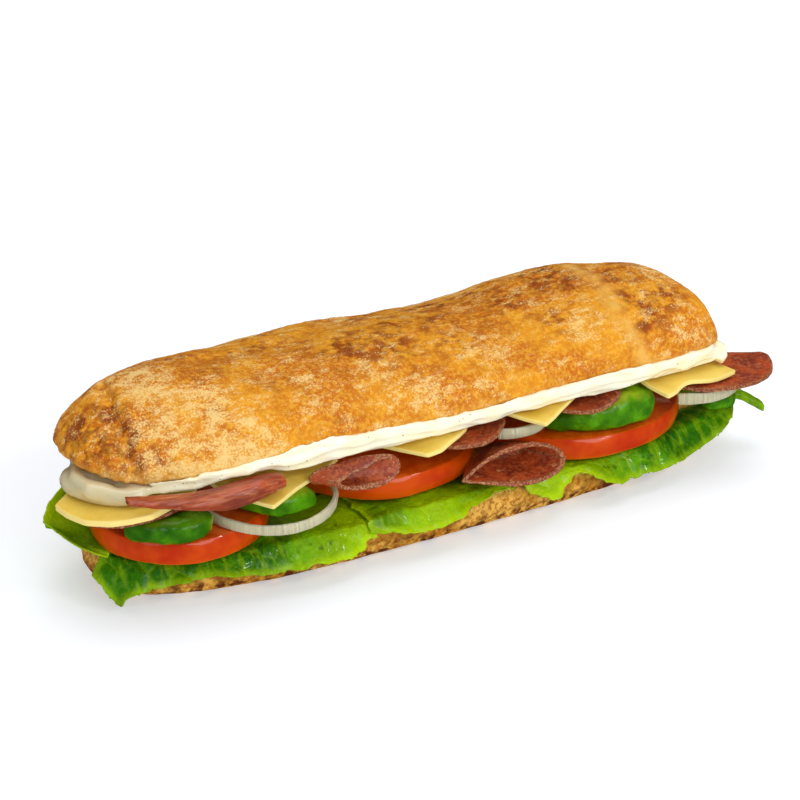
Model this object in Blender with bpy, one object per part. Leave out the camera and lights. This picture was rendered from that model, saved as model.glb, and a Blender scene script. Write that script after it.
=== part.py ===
"""A submarine sandwich: a split crusty loaf with its fillings.

From the bottom up it holds lettuce, tomato, avocado, onion, salami, cheese and mayonnaise. The loaf lies
along X and rests on its flat base at Z = 0, with the origin at the middle of the base. The side that
shows is towards -Y. The pieces are laid from the bottom up, and each one settles on what is there.
Run it with blender --background --python part.py, or from Blender's text editor.
"""

import math

import bmesh
import bpy
import numpy as np
from mathutils import Matrix, Vector, noise
from mathutils.bvhtree import BVHTree

# Every size below is in millimetres. A finished mesh is scaled by MM into metres.
MM = 0.001
GAP = 0.45
SKY = 400.0
SETTLE_PASSES = 60
CUT_SPREAD = 14.0
HANG_FROM = 39.0

# The lower half of the loaf
BASE_HALF_LENGTH = 140.0
BASE_HALF_WIDTH = 42.0
BASE_HEIGHT = 16.5
BASE_FLOOR_INSET = 7.0

# The upper half of the loaf
CROWN_CENTRE_X = -10.0
CROWN_HALF_LENGTH = 137.0
CROWN_HALF_WIDTH = 43.5
CROWN_RISE = 20.5
CROWN_BULGE = 1.8
CROWN_END_SLOPE = 56.0
FRONT_SQUARENESS = 3.0
BACK_SQUARENESS = 2.3
CROWN_RIGHT_SQUARENESS = 7.0
CROWN_BACK_TAPER = 0.22
CROWN_RIGHT_LEAN = 2.0
CROWN_RIGHT_STEEPNESS = 0.66
DOME_BASE = 53.0
DOME_LEFT_LIFT = 4.5
DOME_RIGHT_LIFT = 5.4

# The height of the upper cut along the loaf, from one end to the other
CUT_FROM, CUT_TO = -150.0, 135.0
CUT_HEIGHTS = (
    55.5, 51.6, 50.8, 51.6, 53.4, 54.6, 55.2, 55.6, 55.0, 53.6,
    53.4, 53.8, 54.8, 55.0, 54.9, 54.7, 54.2, 53.8, 53.4, 53.2,
)

# The fillings
LEAF_THICKNESS = 0.9
TOMATO_THICKNESS = 9.0
TOMATO_ROUNDING = 1.6
SALAMI_THICKNESS = 1.7
CHEESE_THICKNESS = 2.3
ONION_WIDTH = 2.4
ONION_HEIGHT = 4.0
MAYONNAISE_FOOT = 46.8
MAYONNAISE_LEAST = 4.0

COLOURS = {
    "crust": ((0.60, 0.30, 0.06), 0.60),
    "crust_base": ((0.50, 0.28, 0.09), 0.75),
    "leaf": ((0.10, 0.27, 0.01), 0.40),
    "tomato": ((0.52, 0.04, 0.01), 0.25),
    "avocado": ((0.12, 0.30, 0.02), 0.40),
    "onion": ((0.55, 0.45, 0.33), 0.30),
    "salami": ((0.30, 0.08, 0.04), 0.45),
    "cheese": ((0.72, 0.50, 0.13), 0.45),
    "mayonnaise": ((0.90, 0.82, 0.60), 0.30),
}


class Pile:
    """The surface of what has been laid so far."""

    def __init__(self):
        self.points = []
        self.faces = []
        self.tree = None

    def add(self, bm):
        bm.verts.index_update()
        start = len(self.points)
        self.points += [v.co.copy() for v in bm.verts]
        self.faces += [[start + v.index for v in face.verts] for face in bm.faces]
        self.tree = BVHTree.FromPolygons(self.points, self.faces)

    def height(self, x, y):
        hit = self.tree.ray_cast(Vector((x, y, SKY)), Vector((0, 0, -1)))[0]
        return hit.z if hit else 0.0

    def underside(self, x, y, reach):
        """The lowest point within reach of (x, y) that is met from below."""
        found = SKY
        for radius in (0.0, reach / 2, reach):
            for step in range(8):
                turn = step * math.pi / 4
                spot = Vector((x + radius * math.cos(turn), y + radius * math.sin(turn), 0))
                hit = self.tree.ray_cast(spot, Vector((0, 0, 1)))[0]
                found = min(found, hit.z if hit else SKY)
        return found

    def support(self, x, y, reach):
        """The highest point within reach of (x, y), from samples on two rings."""
        found = self.height(x, y)
        for radius in (reach / 2, reach):
            for step in range(8):
                turn = step * math.pi / 4
                found = max(found, self.height(x + radius * math.cos(turn), y + radius * math.sin(turn)))
        return found


PILE = Pile()
CROWN = Pile()


def material(kind):
    """One finish for each kind of food."""
    made = bpy.data.materials.get(kind)
    if made is None:
        colour, roughness = COLOURS[kind]
        made = bpy.data.materials.new(kind)
        made.use_nodes = True
        shader = made.node_tree.nodes["Principled BSDF"]
        shader.inputs["Base Color"].default_value = (*colour, 1.0)
        shader.inputs["Roughness"].default_value = roughness
        made.diffuse_color = (*colour, 1.0)
    return made


def finish(name, bm, kind, pile=PILE):
    """Adds the shape to a pile, and makes it an object in metres."""
    bmesh.ops.recalc_face_normals(bm, faces=bm.faces[:])
    bmesh.ops.triangulate(bm, faces=[f for f in bm.faces if len(f.verts) > 4])
    pile.add(bm)
    bm.transform(Matrix.Scale(MM, 4))
    mesh = bpy.data.meshes.new(name)
    bm.to_mesh(mesh)
    bm.free()
    mesh.shade_smooth()
    mesh.set_sharp_from_angle(angle=math.radians(50))
    mesh.materials.append(material(kind))
    piece = bpy.data.objects.new(name, mesh)
    bpy.context.scene.collection.objects.link(piece)
    return piece


def loft(bm, rings):
    """Skins closed rings of equal counts, and leaves the first and the last open."""
    loops = [[bm.verts.new(point) for point in ring] for ring in rings]
    count = len(rings[0])
    for lower, upper in zip(loops, loops[1:]):
        for i in range(count):
            j = (i + 1) % count
            bm.faces.new((lower[i], lower[j], upper[j], upper[i]))
    return loops


def close_with_rungs(bm, loop):
    """Closes a long ring of the loaf with rungs that run across it."""
    half = len(loop) // 2
    for start in (0, half):
        for k in range(half // 2 - 1):
            far = start + half - 1 - k
            bm.faces.new((loop[start + k], loop[start + k + 1], loop[far - 1], loop[far]))
    bm.faces.new((loop[0], loop[half - 1], loop[half], loop[-1]))


def smooth_step(x, start, end):
    t = min(1.0, max(0.0, (x - start) / (end - start)))
    return t * t * (3 - 2 * t)


def curve_through(values, share):
    """A smooth value at share (0 to 1) of the way along a few evenly spaced values (numbers or points)."""
    values = np.asarray(values, float)
    last = len(values) - 1
    place = min(max(share, 0.0), 1.0) * last
    i = min(int(place), last - 1)
    t = place - i
    before, here, there, after = (values[min(max(k, 0), last)] for k in (i - 1, i, i + 1, i + 2))
    return 0.5 * (
        2 * here
        + (there - before) * t
        + (2 * before - 5 * here + 4 * there - after) * t**2
        + (3 * here - before - 3 * there + after) * t**3
    )


class Outline:
    """The plan of the loaf: a superellipse that is followed by its length, from the middle of the front."""

    STEPS = 1440

    def __init__(self, centre_x, half_length, half_width, right_squareness=FRONT_SQUARENESS, back_taper=0.0):
        turns = np.linspace(-math.pi, math.pi, self.STEPS, endpoint=False) - math.pi / 2
        c, s = np.cos(turns), np.sin(turns)
        front = np.where(c < 0, 2 / FRONT_SQUARENESS, 2 / right_squareness)
        power = np.where(s < 0, front, 2 / BACK_SQUARENESS)
        self.points = np.stack(
            [
                centre_x + half_length * np.sign(c) * abs(c) ** power,
                half_width * np.sign(s) * abs(s) ** power,
            ],
            axis=1,
        )
        for spot in self.points:
            near_end = smooth_step(abs(spot[0]), 80, 140) * (1.0 if spot[0] > 0 else 0.4)
            if spot[1] > 0:
                spot[0] -= math.copysign(back_taper * near_end * spot[1], spot[0])
                spot[1] *= 1 - back_taper * near_end
        sides = np.linalg.norm(np.roll(self.points, -1, axis=0) - self.points, axis=1)
        places = np.concatenate([[0.0], np.cumsum(sides)])
        self.length = places[-1]
        self.right_inset = 1.0
        self.places = places[:-1] - places[self.STEPS // 2]

    def point(self, place):
        """The point at this length along the outline."""
        place = (place + self.length / 2) % self.length - self.length / 2
        wrapped = np.append(self.places, self.places[0] + self.length)
        x = np.interp(place, wrapped, np.append(self.points[:, 0], self.points[0, 0]))
        y = np.interp(place, wrapped, np.append(self.points[:, 1], self.points[0, 1]))
        return np.array([x, y])

    def outward(self, place):
        ahead = self.point(place + 1.0) - self.point(place - 1.0)
        normal = np.array([ahead[1], -ahead[0]])
        return normal / np.linalg.norm(normal)

    def place_of(self, x, y):
        """The length along the outline that is nearest to (x, y)."""
        nearest = np.argmin(np.hypot(self.points[:, 0] - x, self.points[:, 1] - y))
        return self.places[nearest]

    def ring(self, count):
        """Evenly spaced places along the outline."""
        return [(k + 0.5) / count * self.length - self.length / 2 for k in range(count)]


BASE_RIM = Outline(0.0, BASE_HALF_LENGTH, BASE_HALF_WIDTH)
CROWN_RIM = Outline(
    CROWN_CENTRE_X, CROWN_HALF_LENGTH, CROWN_HALF_WIDTH, CROWN_RIGHT_SQUARENESS, CROWN_BACK_TAPER
)
CROWN_RIM.right_inset = CROWN_RIGHT_STEEPNESS


def loaf_spot(rim, place, half_length, width_share, end_inset):
    """A point inside the loaf's plan, narrowed by width_share and drawn in from the ends by end_inset."""
    x, y = rim.point(place)
    centre = (rim.points[:, 0].max() + rim.points[:, 0].min()) / 2
    if x > centre:
        end_inset *= rim.right_inset
    return Vector((centre + (x - centre) * (half_length - end_inset) / half_length, y * width_share, 0.0))


def loaf_ring(rim, count, half_length, width_share, end_inset, height=0.0):
    ring = [loaf_spot(rim, place, half_length, width_share, end_inset) for place in rim.ring(count)]
    for point in ring:
        point.z = height
    return ring


def cut_height(x):
    """The height of the upper cut, which waves along the loaf."""
    return float(curve_through(CUT_HEIGHTS, (x - CUT_FROM) / (CUT_TO - CUT_FROM)))


def dome_height(x):
    """The height that the dome of the crust is built on, which rises at the left end and to the right."""
    left = max(0.0, (CROWN_CENTRE_X - x) / CROWN_HALF_LENGTH) ** 5
    return DOME_BASE + DOME_LEFT_LIFT * left + DOME_RIGHT_LIFT * smooth_step(x, 20, 105)


def dent(x, y, middle, along, across, turn, depth):
    """A long soft hollow in the crust (or a swelling, with a negative depth)."""
    dx, dy = x - middle[0], y - middle[1]
    c, s = math.cos(math.radians(turn)), math.sin(math.radians(turn))
    u, v = (dx * c + dy * s) / along, (dy * c - dx * s) / across
    return depth * math.exp(-(u * u + v * v))


def crown_relief(x, y):
    """How far the crust is pushed down from the plain dome."""
    down = dent(x, y, (-62, 8), 40, 8, 8, 2.6)
    down += dent(x, y, (-20, 26), 24, 8, 20, 2.4)
    down += dent(x, y, (20, 28), 26, 24, 0, 2.6)
    down += dent(x, y, (86, -4), 6, 40, -14, 1.7)
    down += dent(x, y, (-131, -18), 6, 26, 24, 2.6)
    down += dent(x, y, (66, 8), 34, 30, 0, -2.6)
    down += dent(x, y, (-108, 8), 30, 26, 0, -3.2)
    waves = noise.noise(Vector((x * 0.021, y * 0.035, 3.1))) + 0.5 * noise.noise(
        Vector((x * 0.06, y * 0.06, 8.4))
    )
    return down + 1.5 * waves


def make_lower_bread():
    """The lower half: a flat base, a rounded crust and a flat cut top."""
    count = 60
    rows = (
        (0.12, 40.0, 0.0),
        (0.55, 20.0, 0.0),
        (1 - BASE_FLOOR_INSET / BASE_HALF_WIDTH, BASE_FLOOR_INSET, 0.0),
        (0.955, 2.4, 2.2),
        (1.0, 0.0, 7.0),
        (1.0, 0.0, 12.0),
        (0.985, 0.6, BASE_HEIGHT - 0.8),
        (0.955, 2.0, BASE_HEIGHT),
        (0.5, 22.0, BASE_HEIGHT + 0.3),
        (0.12, 40.0, BASE_HEIGHT + 0.3),
    )
    bm = bmesh.new()
    loops = loft(bm, [loaf_ring(BASE_RIM, count, BASE_HALF_LENGTH, *row) for row in rows])
    for loop in (loops[0], loops[-1]):
        close_with_rungs(bm, loop)
    for v in bm.verts:
        sideways = 0.9 * noise.noise(v.co * 0.045) + 0.5 * noise.noise(v.co * 0.13)
        edge = smooth_step(math.hypot(v.co.x / BASE_HALF_LENGTH, v.co.y / BASE_HALF_WIDTH), 0.6, 0.95)
        if v.co.z > 0.5:
            v.co.y += math.copysign(sideways * edge, v.co.y)
            v.co.x += math.copysign(sideways * edge, v.co.x) * 0.5
    return finish("bread_bottom", bm, "crust_base")


def make_upper_bread():
    """The upper half: a domed crust over a cut underside that follows cut_height."""
    count = 64
    lowest_turn, steps = -16.0, 10
    bm = bmesh.new()
    rings = [
        loaf_ring(CROWN_RIM, count, CROWN_HALF_LENGTH, share, inset)
        for share, inset in ((0.12, 40.0), (0.55, 20.0), (0.94, 3.0))
    ]
    for ring in rings:
        for point in ring:
            point.z = cut_height(point.x)
    for step in range(steps + 1):
        turn = math.radians(lowest_turn + (88 - lowest_turn) * step / steps)
        share = max(0.12, math.cos(turn) ** 0.9)
        bulge = 1 + CROWN_BULGE / CROWN_HALF_WIDTH
        ring = loaf_ring(
            CROWN_RIM,
            count,
            CROWN_HALF_LENGTH,
            share * bulge,
            (1 - share) * CROWN_END_SLOPE - CROWN_BULGE,
        )
        swell = 6.5
        for point in ring:
            sine = math.sin(turn)
            rise = swell * sine if sine < 0 else swell * sine + (CROWN_RISE - swell) * sine**1.1
            low, high = cut_height(point.x), dome_height(point.x)
            point.z = low + (high - low) * smooth_step(turn, -0.28, 0.9)
            point.z += swell * math.sin(math.radians(-lowest_turn)) + rise
            point.z -= crown_relief(point.x, point.y) * smooth_step(turn, 0.1, 0.9)
            point.x -= CROWN_RIGHT_LEAN * smooth_step(point.x, 80, 140) * smooth_step(turn, -0.28, 0.35)
            point.y += math.copysign(1.2 * noise.noise(Vector((point.x * 0.03, 2.0, 5.0))), point.y) * share
        rings.append(ring)
    loops = loft(bm, rings)
    for loop in (loops[0], loops[-1]):
        close_with_rungs(bm, loop)
    return finish("bread_top", bm, "crust", CROWN)


def settle(bm, reach, level, sag=0.3):
    """Drops an open, limp sheet on the pile. level(x, y) is the least height that it keeps."""
    verts = bm.verts[:]
    bm.verts.index_update()
    floor = np.array(
        [max(PILE.support(v.co.x, v.co.y, reach) + 1.5 * GAP, level(v.co.x, v.co.y)) for v in verts]
    )
    ends = np.array([[e.verts[0].index, e.verts[1].index] for e in bm.edges])
    degree = np.bincount(ends.ravel(), minlength=len(verts))
    heights = floor.copy()
    for _ in range(SETTLE_PASSES):
        total = np.bincount(ends[:, 0], heights[ends[:, 1]], len(verts))
        total += np.bincount(ends[:, 1], heights[ends[:, 0]], len(verts))
        heights = np.maximum(floor, total / degree - sag)
    for v, height in zip(verts, heights):
        v.co.z += height


def rest(bm, underside, reach, level=0.0):
    """Drops a stiff shape on the pile as a whole, or holds it at level if that is higher."""
    lift = max(max(PILE.support(v.co.x, v.co.y, reach) + GAP, level) - v.co.z for v in underside)
    bmesh.ops.translate(bm, verts=bm.verts[:], vec=(0, 0, lift))


def thicken(bm, thickness, rounding=0.0):
    """Makes a closed slice of an open sheet, which becomes its underside."""
    under = set(bm.verts)
    made = bmesh.ops.extrude_face_region(bm, geom=bm.faces[:], use_keep_orig=True)["geom"]
    for v in made:
        if isinstance(v, bmesh.types.BMVert):
            v.co.z += thickness
    if rounding:
        middle = sum((v.co for v in under), Vector()) / len(under)
        upright = [e for e in bm.edges if (e.verts[0] in under) != (e.verts[1] in under)]
        for v in bmesh.ops.subdivide_edges(bm, edges=upright, cuts=1)["geom_inner"]:
            if isinstance(v, bmesh.types.BMVert):
                away = Vector((v.co.x - middle.x, v.co.y - middle.y, 0)).normalized()
                v.co += away * rounding


def sheet(columns, rows, plan):
    """A grid whose corners, from -1 to 1 both ways, are moved to plan(u, v)."""
    bm = bmesh.new()
    bmesh.ops.create_grid(bm, x_segments=columns, y_segments=rows, size=1)
    for v in bm.verts:
        v.co = Vector((*plan(v.co.x, v.co.y), 0.0))
    return bm


def slice_plan(centre, half_sides, turn=0.0, roundness=1.0, unevenness=0.0, seed=0.0, cuts=()):
    """A plan for sheet(): an oval at a roundness of 1, a rectangle at 0.

    Each cut is a point and an outward direction. What lies beyond is drawn back to the cut.
    """
    c, s = math.cos(math.radians(turn)), math.sin(math.radians(turn))

    def plan(u, v):
        x = u * (1 - roundness + roundness * math.sqrt(1 - v * v / 2))
        y = v * (1 - roundness + roundness * math.sqrt(1 - u * u / 2))
        swell = 1 + unevenness * noise.noise(Vector((x * 1.7, y * 1.7, seed)))
        x, y = x * half_sides[0] * swell, y * half_sides[1] * swell
        spot = Vector((centre[0] + x * c - y * s, centre[1] + x * s + y * c))
        depth = 1 - max(abs(u), abs(v))
        for point, away in cuts:
            away = Vector(away).normalized()
            beyond = (spot - Vector(point)).dot(away) + depth * CUT_SPREAD
            spot -= away * max(0.0, beyond)
        return tuple(spot)

    return plan


def make_leaf(name, start, end, inside, overhangs, drops, ruffle, waves, phase, columns=18, puff=0.0):
    """A leaf that lies on the lower bread and hangs over its rim, from start to end along the rim.

    inside, overhangs and drops are read evenly along the leaf: how far it reaches in over the bread and out
    beyond the rim, and how far its edge hangs.
    A negative drop is an edge that stands up. puff is how far its middle is bulged up off the bread.
    """
    first, last = BASE_RIM.place_of(*start), BASE_RIM.place_of(*end)
    if last < first:
        last += BASE_RIM.length
    across = (-1.0, -0.55, -0.22, 0.10, 0.34, 0.56, 0.78, 1.0)
    bm = bmesh.new()
    bmesh.ops.create_grid(bm, x_segments=columns, y_segments=len(across) - 1, size=1)
    lows = {}
    for v in bm.verts:
        share = (v.co.x + 1) / 2
        row = across[round((v.co.y + 1) / 2 * (len(across) - 1))]
        place = first + (last - first) * share
        overhang = curve_through(overhangs, share)
        drop = curve_through(drops, share)
        out = row * curve_through(inside, share) if row < 0 else 1.4 + (row - 0.1) / 0.9 * (overhang - 1.4)
        hang = max(0.0, (out - 1.4) / max(overhang - 1.4, 0.5))
        ripple = math.sin(waves * share * 2 * math.pi + phase) + 0.6 * math.sin(
            waves * share * 4.7 * math.pi + phase * 2.3
        )
        curl = hang**1.5
        base = BASE_RIM.point(place)
        normal = BASE_RIM.outward(place)
        reach = out + ruffle * 0.7 * ripple * curl * (1 if drop > 0 else 0.3)
        spot = base + normal * max(reach, out if row <= 0.1 else 1.6 + 2.0 * hang)
        lift = 0.5 * noise.noise(Vector((spot[0] * 0.07, spot[1] * 0.07, phase))) if row < 0 else 0.0
        v.co.x, v.co.y = spot
        v.co.z = 0.0
        lows[v.index] = (
            BASE_HEIGHT
            + 0.9
            + abs(lift)
            + puff * math.exp(-(((row + 0.1) / 0.5) ** 2))
            - drop * hang**1.15
            + ruffle * 0.8 * ripple * curl,
            row,
        )
    for v in bm.verts:
        low, row = lows[v.index]
        beneath = PILE.support(v.co.x, v.co.y, 3.5 if row <= 0.34 else 1.2) + GAP
        v.co.z = max(low, beneath, 1.0)
    thicken(bm, LEAF_THICKNESS)
    return finish(name, bm, "leaf")


def segment_plan(centre, radii, chord):
    """A plan for sheet(): the part of an oval behind a straight chord."""
    half = radii[0] * math.sqrt(1 - ((chord - centre[1]) / radii[1]) ** 2)

    def plan(u, v):
        arc = centre[1] + radii[1] * math.sqrt(1 - (u * half / radii[0]) ** 2)
        return centre[0] + u * half, chord + (v + 1) / 2 * (arc - chord + 3 * u**8)

    return plan


def make_tomato(name, plan, level=0.0, rows=6):
    bm = sheet(6, rows, plan)
    rest(bm, bm.verts[:], 2.5, level)
    thicken(bm, TOMATO_THICKNESS, TOMATO_ROUNDING)
    return finish(name, bm, "tomato")


def make_slice(name, kind, plan, level, thickness, hang=0.0, wave=0.0, curl=0.0, rows=6):
    """A thin slice. Its front hangs by hang for each millimetre beyond the rim, and its edge may curl."""
    bm = sheet(6, rows, plan)
    middle = sum((v.co for v in bm.verts), Vector()) / len(bm.verts)
    widest = max((v.co - middle).length for v in bm.verts)

    def least(x, y):
        outer = smooth_step((Vector((x, y, 0)) - middle).length / widest, 0.7, 1.0)
        waves = wave * noise.noise(Vector((x * 0.06, y * 0.06, level)))
        return level + waves + curl * outer - hang * max(0.0, -y - HANG_FROM)

    settle(bm, 6.0, least)
    thicken(bm, thickness)
    return finish(name, bm, kind)


def make_avocado(name, spine, widths, heights, level):
    """A wedge that lies along its spine, rounded like the rind and blunt at both ends."""
    steps, sides = 9, 8
    rings = []
    for k in range(steps + 1):
        share = k / steps
        here = curve_through(spine, share)
        ahead = curve_through(spine, min(1.0, share + 0.02)) - curve_through(spine, max(0.0, share - 0.02))
        across = Vector((ahead[1], -ahead[0], 0)).normalized()
        blunt = 0.45 + 0.55 * (1 - abs(share * 2 - 1) ** 5) ** 0.5
        width = float(curve_through(widths, share)) * blunt
        height = float(curve_through(heights, share)) * (0.35 + 0.65 * blunt)
        full = float(curve_through(heights, share))
        ring = []
        for side in range(sides):
            a = 2 * math.pi * (side + 0.5) / sides
            u = math.copysign(abs(math.cos(a)) ** 0.7, math.cos(a)) * width / 2
            w = math.copysign(abs(math.sin(a)) ** 0.7, math.sin(a)) * height / 2
            ring.append(Vector((here[0], here[1], here[2] + full / 2 + w)) + across * u)
        rings.append(ring)
    bm = bmesh.new()
    loops = loft(bm, rings)
    for loop in (loops[0], loops[-1]):
        bm.faces.new(loop)
    rest(bm, [v for ring in loops for v in ring[sides // 2 :]], 2.0, level)
    return finish(name, bm, "avocado")


def make_onion(name, centre, radius, start, end, level, droop=0.0, height=ONION_HEIGHT):
    """A stretch of an onion ring, limp along its length."""
    steps = 16
    spine = []
    for k in range(steps + 1):
        angle = math.radians(start + (end - start) * k / steps)
        spine.append((centre[0] + radius * math.cos(angle), centre[1] + radius * math.sin(angle), angle))
    floor = np.array(
        [max(PILE.support(x, y, 3.0) + GAP, level - droop * smooth_step(-y, 38, 54)) for x, y, _ in spine]
    )
    heights = floor.copy()
    for _ in range(SETTLE_PASSES):
        heights[1:-1] = np.maximum(floor[1:-1], (heights[:-2] + heights[2:]) / 2 - 0.05)
    half = ONION_WIDTH / 2
    rings = []
    for (x, y, angle), low in zip(spine, heights):
        out = Vector((math.cos(angle), math.sin(angle), 0))
        foot = Vector((x, y, low))
        up = Vector((0, 0, height))
        rings.append(
            [
                foot + out * (half * 0.7),
                foot + out * half + up * 0.5,
                foot + out * (half * 0.5) + up,
                foot - out * (half * 0.7) + up,
                foot - out * half + up * 0.5,
                foot - out * (half * 0.7),
            ]
        )
    bm = bmesh.new()
    loops = loft(bm, rings)
    for loop in (loops[0], loops[-1]):
        bm.faces.new(loop)
    return finish(name, bm, "onion")


def make_pocket(name, mouth, tip, tip_size, swell=0.0, deep=0.0):
    """A slice of salami rolled into a pocket. mouth is points round its open rim, and tip its shut end.

    Half way down, its upper side is raised by swell and all of it lies deep further in.
    """
    count, depth = 16, 5
    rim = [Vector(curve_through([*mouth, mouth[0]], k / count)) for k in range(count)]
    middle = sum(rim, Vector()) / count
    tip = Vector(tip)

    def section(share, wall):
        """The pocket at a share of its depth from tip to mouth, drawn in by wall."""
        ring = []
        core = tip.lerp(middle, share)
        for point in rim:
            away = point - middle
            turn = math.atan2(away.z, away.x)
            shut = core + Vector((math.cos(turn) * tip_size[0], 0, math.sin(turn) * tip_size[1]))
            shape = shut.lerp(core + away, share**0.75)
            inward = core - shape
            bend = math.sin(math.pi * share)
            shape += Vector((0, deep * bend, swell * bend * smooth_step(away.z, 0, 3)))
            ring.append(shape + inward.normalized() * min(wall, inward.length * 0.6))
        return ring

    rings = [section(k / depth, 0.0) for k in range(depth + 1)]
    rings += [section(k / depth, SALAMI_THICKNESS) for k in range(depth, 0, -1)]
    bm = bmesh.new()
    loops = loft(bm, rings)
    for loop in (loops[0], loops[-1]):
        bm.faces.new(loop)
    return finish(name, bm, "salami")


def make_folded_salami(name, fold, heights, inside):
    """A slice folded in two. fold is the foot of its bend along the front, and heights its height."""
    columns, bend_steps = 12, 4
    rings = []
    for k in range(columns + 1):
        share = k / columns
        foot = Vector(curve_through(fold, share))
        tall = float(curve_through(heights, share))
        reach = inside * max(0.0, 1 - abs(share * 2 - 1) ** 2.5) ** 0.5 + 3.0
        outer, depth = tall / 2, tall * 0.4
        ring = [Vector((0, reach + depth, tall)), Vector((0, reach * 0.5 + depth, tall))]
        for step in range(bend_steps + 1):
            turn = math.pi * step / bend_steps
            ring.append(Vector((0, depth - math.sin(turn) * depth, outer + math.cos(turn) * outer)))
        ring += [Vector((0, reach * 0.5 + depth, 0)), Vector((0, reach + depth, 0))]
        wall = min(SALAMI_THICKNESS, outer * 0.7)
        inner, hollow = outer - wall, max(depth - wall, 0.3)
        ring += [Vector((0, reach + depth, wall)), Vector((0, reach * 0.5 + depth, wall))]
        for step in range(bend_steps + 1):
            turn = math.pi * (1 - step / bend_steps)
            ring.append(Vector((0, depth - math.sin(turn) * hollow, outer + math.cos(turn) * inner)))
        ring += [Vector((0, reach * 0.5 + depth, tall - wall)), Vector((0, reach + depth, tall - wall))]
        rings.append([foot + p for p in ring])
    bm = bmesh.new()
    loops = loft(bm, rings)
    for loop in (loops[0], loops[-1]):
        bm.faces.new(loop)
    return finish(name, bm, "salami")


def make_leaf_rib(name, spine, widths, thickness):
    """The thick pale end of a leaf's middle rib."""
    steps = 6
    rings = []
    for k in range(steps + 1):
        share = k / steps
        here = Vector(curve_through(spine, share))
        ahead = Vector(curve_through(spine, min(1.0, share + 0.05))) - here
        ahead = ahead if ahead.length > 0.01 else here - Vector(curve_through(spine, share - 0.05))
        across = Vector((ahead.y, -ahead.x, 0)).normalized() * float(curve_through(widths, share)) / 2
        up = Vector((0, 0, thickness))
        rings.append(
            [
                here + across,
                here + across * 0.9 + up * 0.8,
                here + up,
                here - across * 0.9 + up * 0.6,
                here - across,
                here - up * 0.25,
            ]
        )
    bm = bmesh.new()
    loops = loft(bm, rings)
    for loop in (loops[0], loops[-1]):
        bm.faces.new(loop)
    return finish(name, bm, "leaf")


def mayonnaise_edge(place):
    """How far the mayonnaise stands out beyond the upper rim, and how much of the folded lip is here."""
    x, y = CROWN_RIM.point(place)
    wavy = 0.9 * noise.noise(Vector((x * 0.07, y * 0.07, 4.0)))
    wavy += 0.5 * noise.noise(Vector((x * 0.2, 1.0, 9.0)))
    lip = math.exp(-(((x + 145) / 13) ** 2 + ((y + 25) / 13) ** 2))
    corner = math.exp(-(((x - 125) / 9) ** 2 + ((y + 38) / 10) ** 2))
    behind = smooth_step(y, -16, -6) * smooth_step(-x, 122, 138)
    over_fold = math.exp(-(((x + 104) / 18) ** 2)) if y < 0 else 0.0
    return 1.8 + wavy + 6.0 * lip + 2.6 * corner + 2.0 * over_fold - 5.2 * behind, lip


def make_mayonnaise():
    """A thick spread under the upper bread, with a lip that folds out at the left end."""
    places = CROWN_RIM.ring(72)

    def over(x, y, reach):
        return min(CROWN.underside(x, y, reach), cut_height(x)) - 1.6 * GAP

    def foot(x, y, reach, lip=0.0):
        least = min(MAYONNAISE_FOOT - 2.0 * lip, cut_height(x) - MAYONNAISE_LEAST)
        return max(PILE.support(x, y, reach) + GAP, least)

    rings = []
    for share, inset, reach in ((0.12, 40.0, 9.0), (0.45, 24.0, 10.0), (0.72, 12.0, 9.0), (0.86, 8.0, 5.0)):
        ring = []
        for place in places:
            x, y, _ = loaf_spot(CROWN_RIM, place, CROWN_HALF_LENGTH, share, inset)
            ring.append(Vector((x, y, foot(x, y, reach) + GAP)))
        rings.append(ring)
    for drawn_in, share in ((1.6, 0.12), (0.2, 0.5), (0.9, 0.9)):
        ring = []
        for place in places:
            edge, lip = mayonnaise_edge(place)
            x, y = CROWN_RIM.point(place) + CROWN_RIM.outward(place) * (edge - drawn_in)
            top = cut_height(x) - 1.6 * GAP
            low = foot(x, y, 2.5, lip)
            ring.append(Vector((x, y, low + share * (top - low))))
        rings.append(ring)
    for share, inset in ((0.90, 8.0), (0.6, 18.0), (0.12, 40.0)):
        ring = []
        for place in places:
            x, y, _ = loaf_spot(CROWN_RIM, place, CROWN_HALF_LENGTH, share, inset)
            ring.append(Vector((x, y, over(x, y, 4.0))))
        rings.append(ring)
    bm = bmesh.new()
    loops = loft(bm, rings)
    for loop in (loops[0], loops[-1]):
        close_with_rungs(bm, loop)
    return finish("mayonnaise", bm, "mayonnaise")


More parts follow.
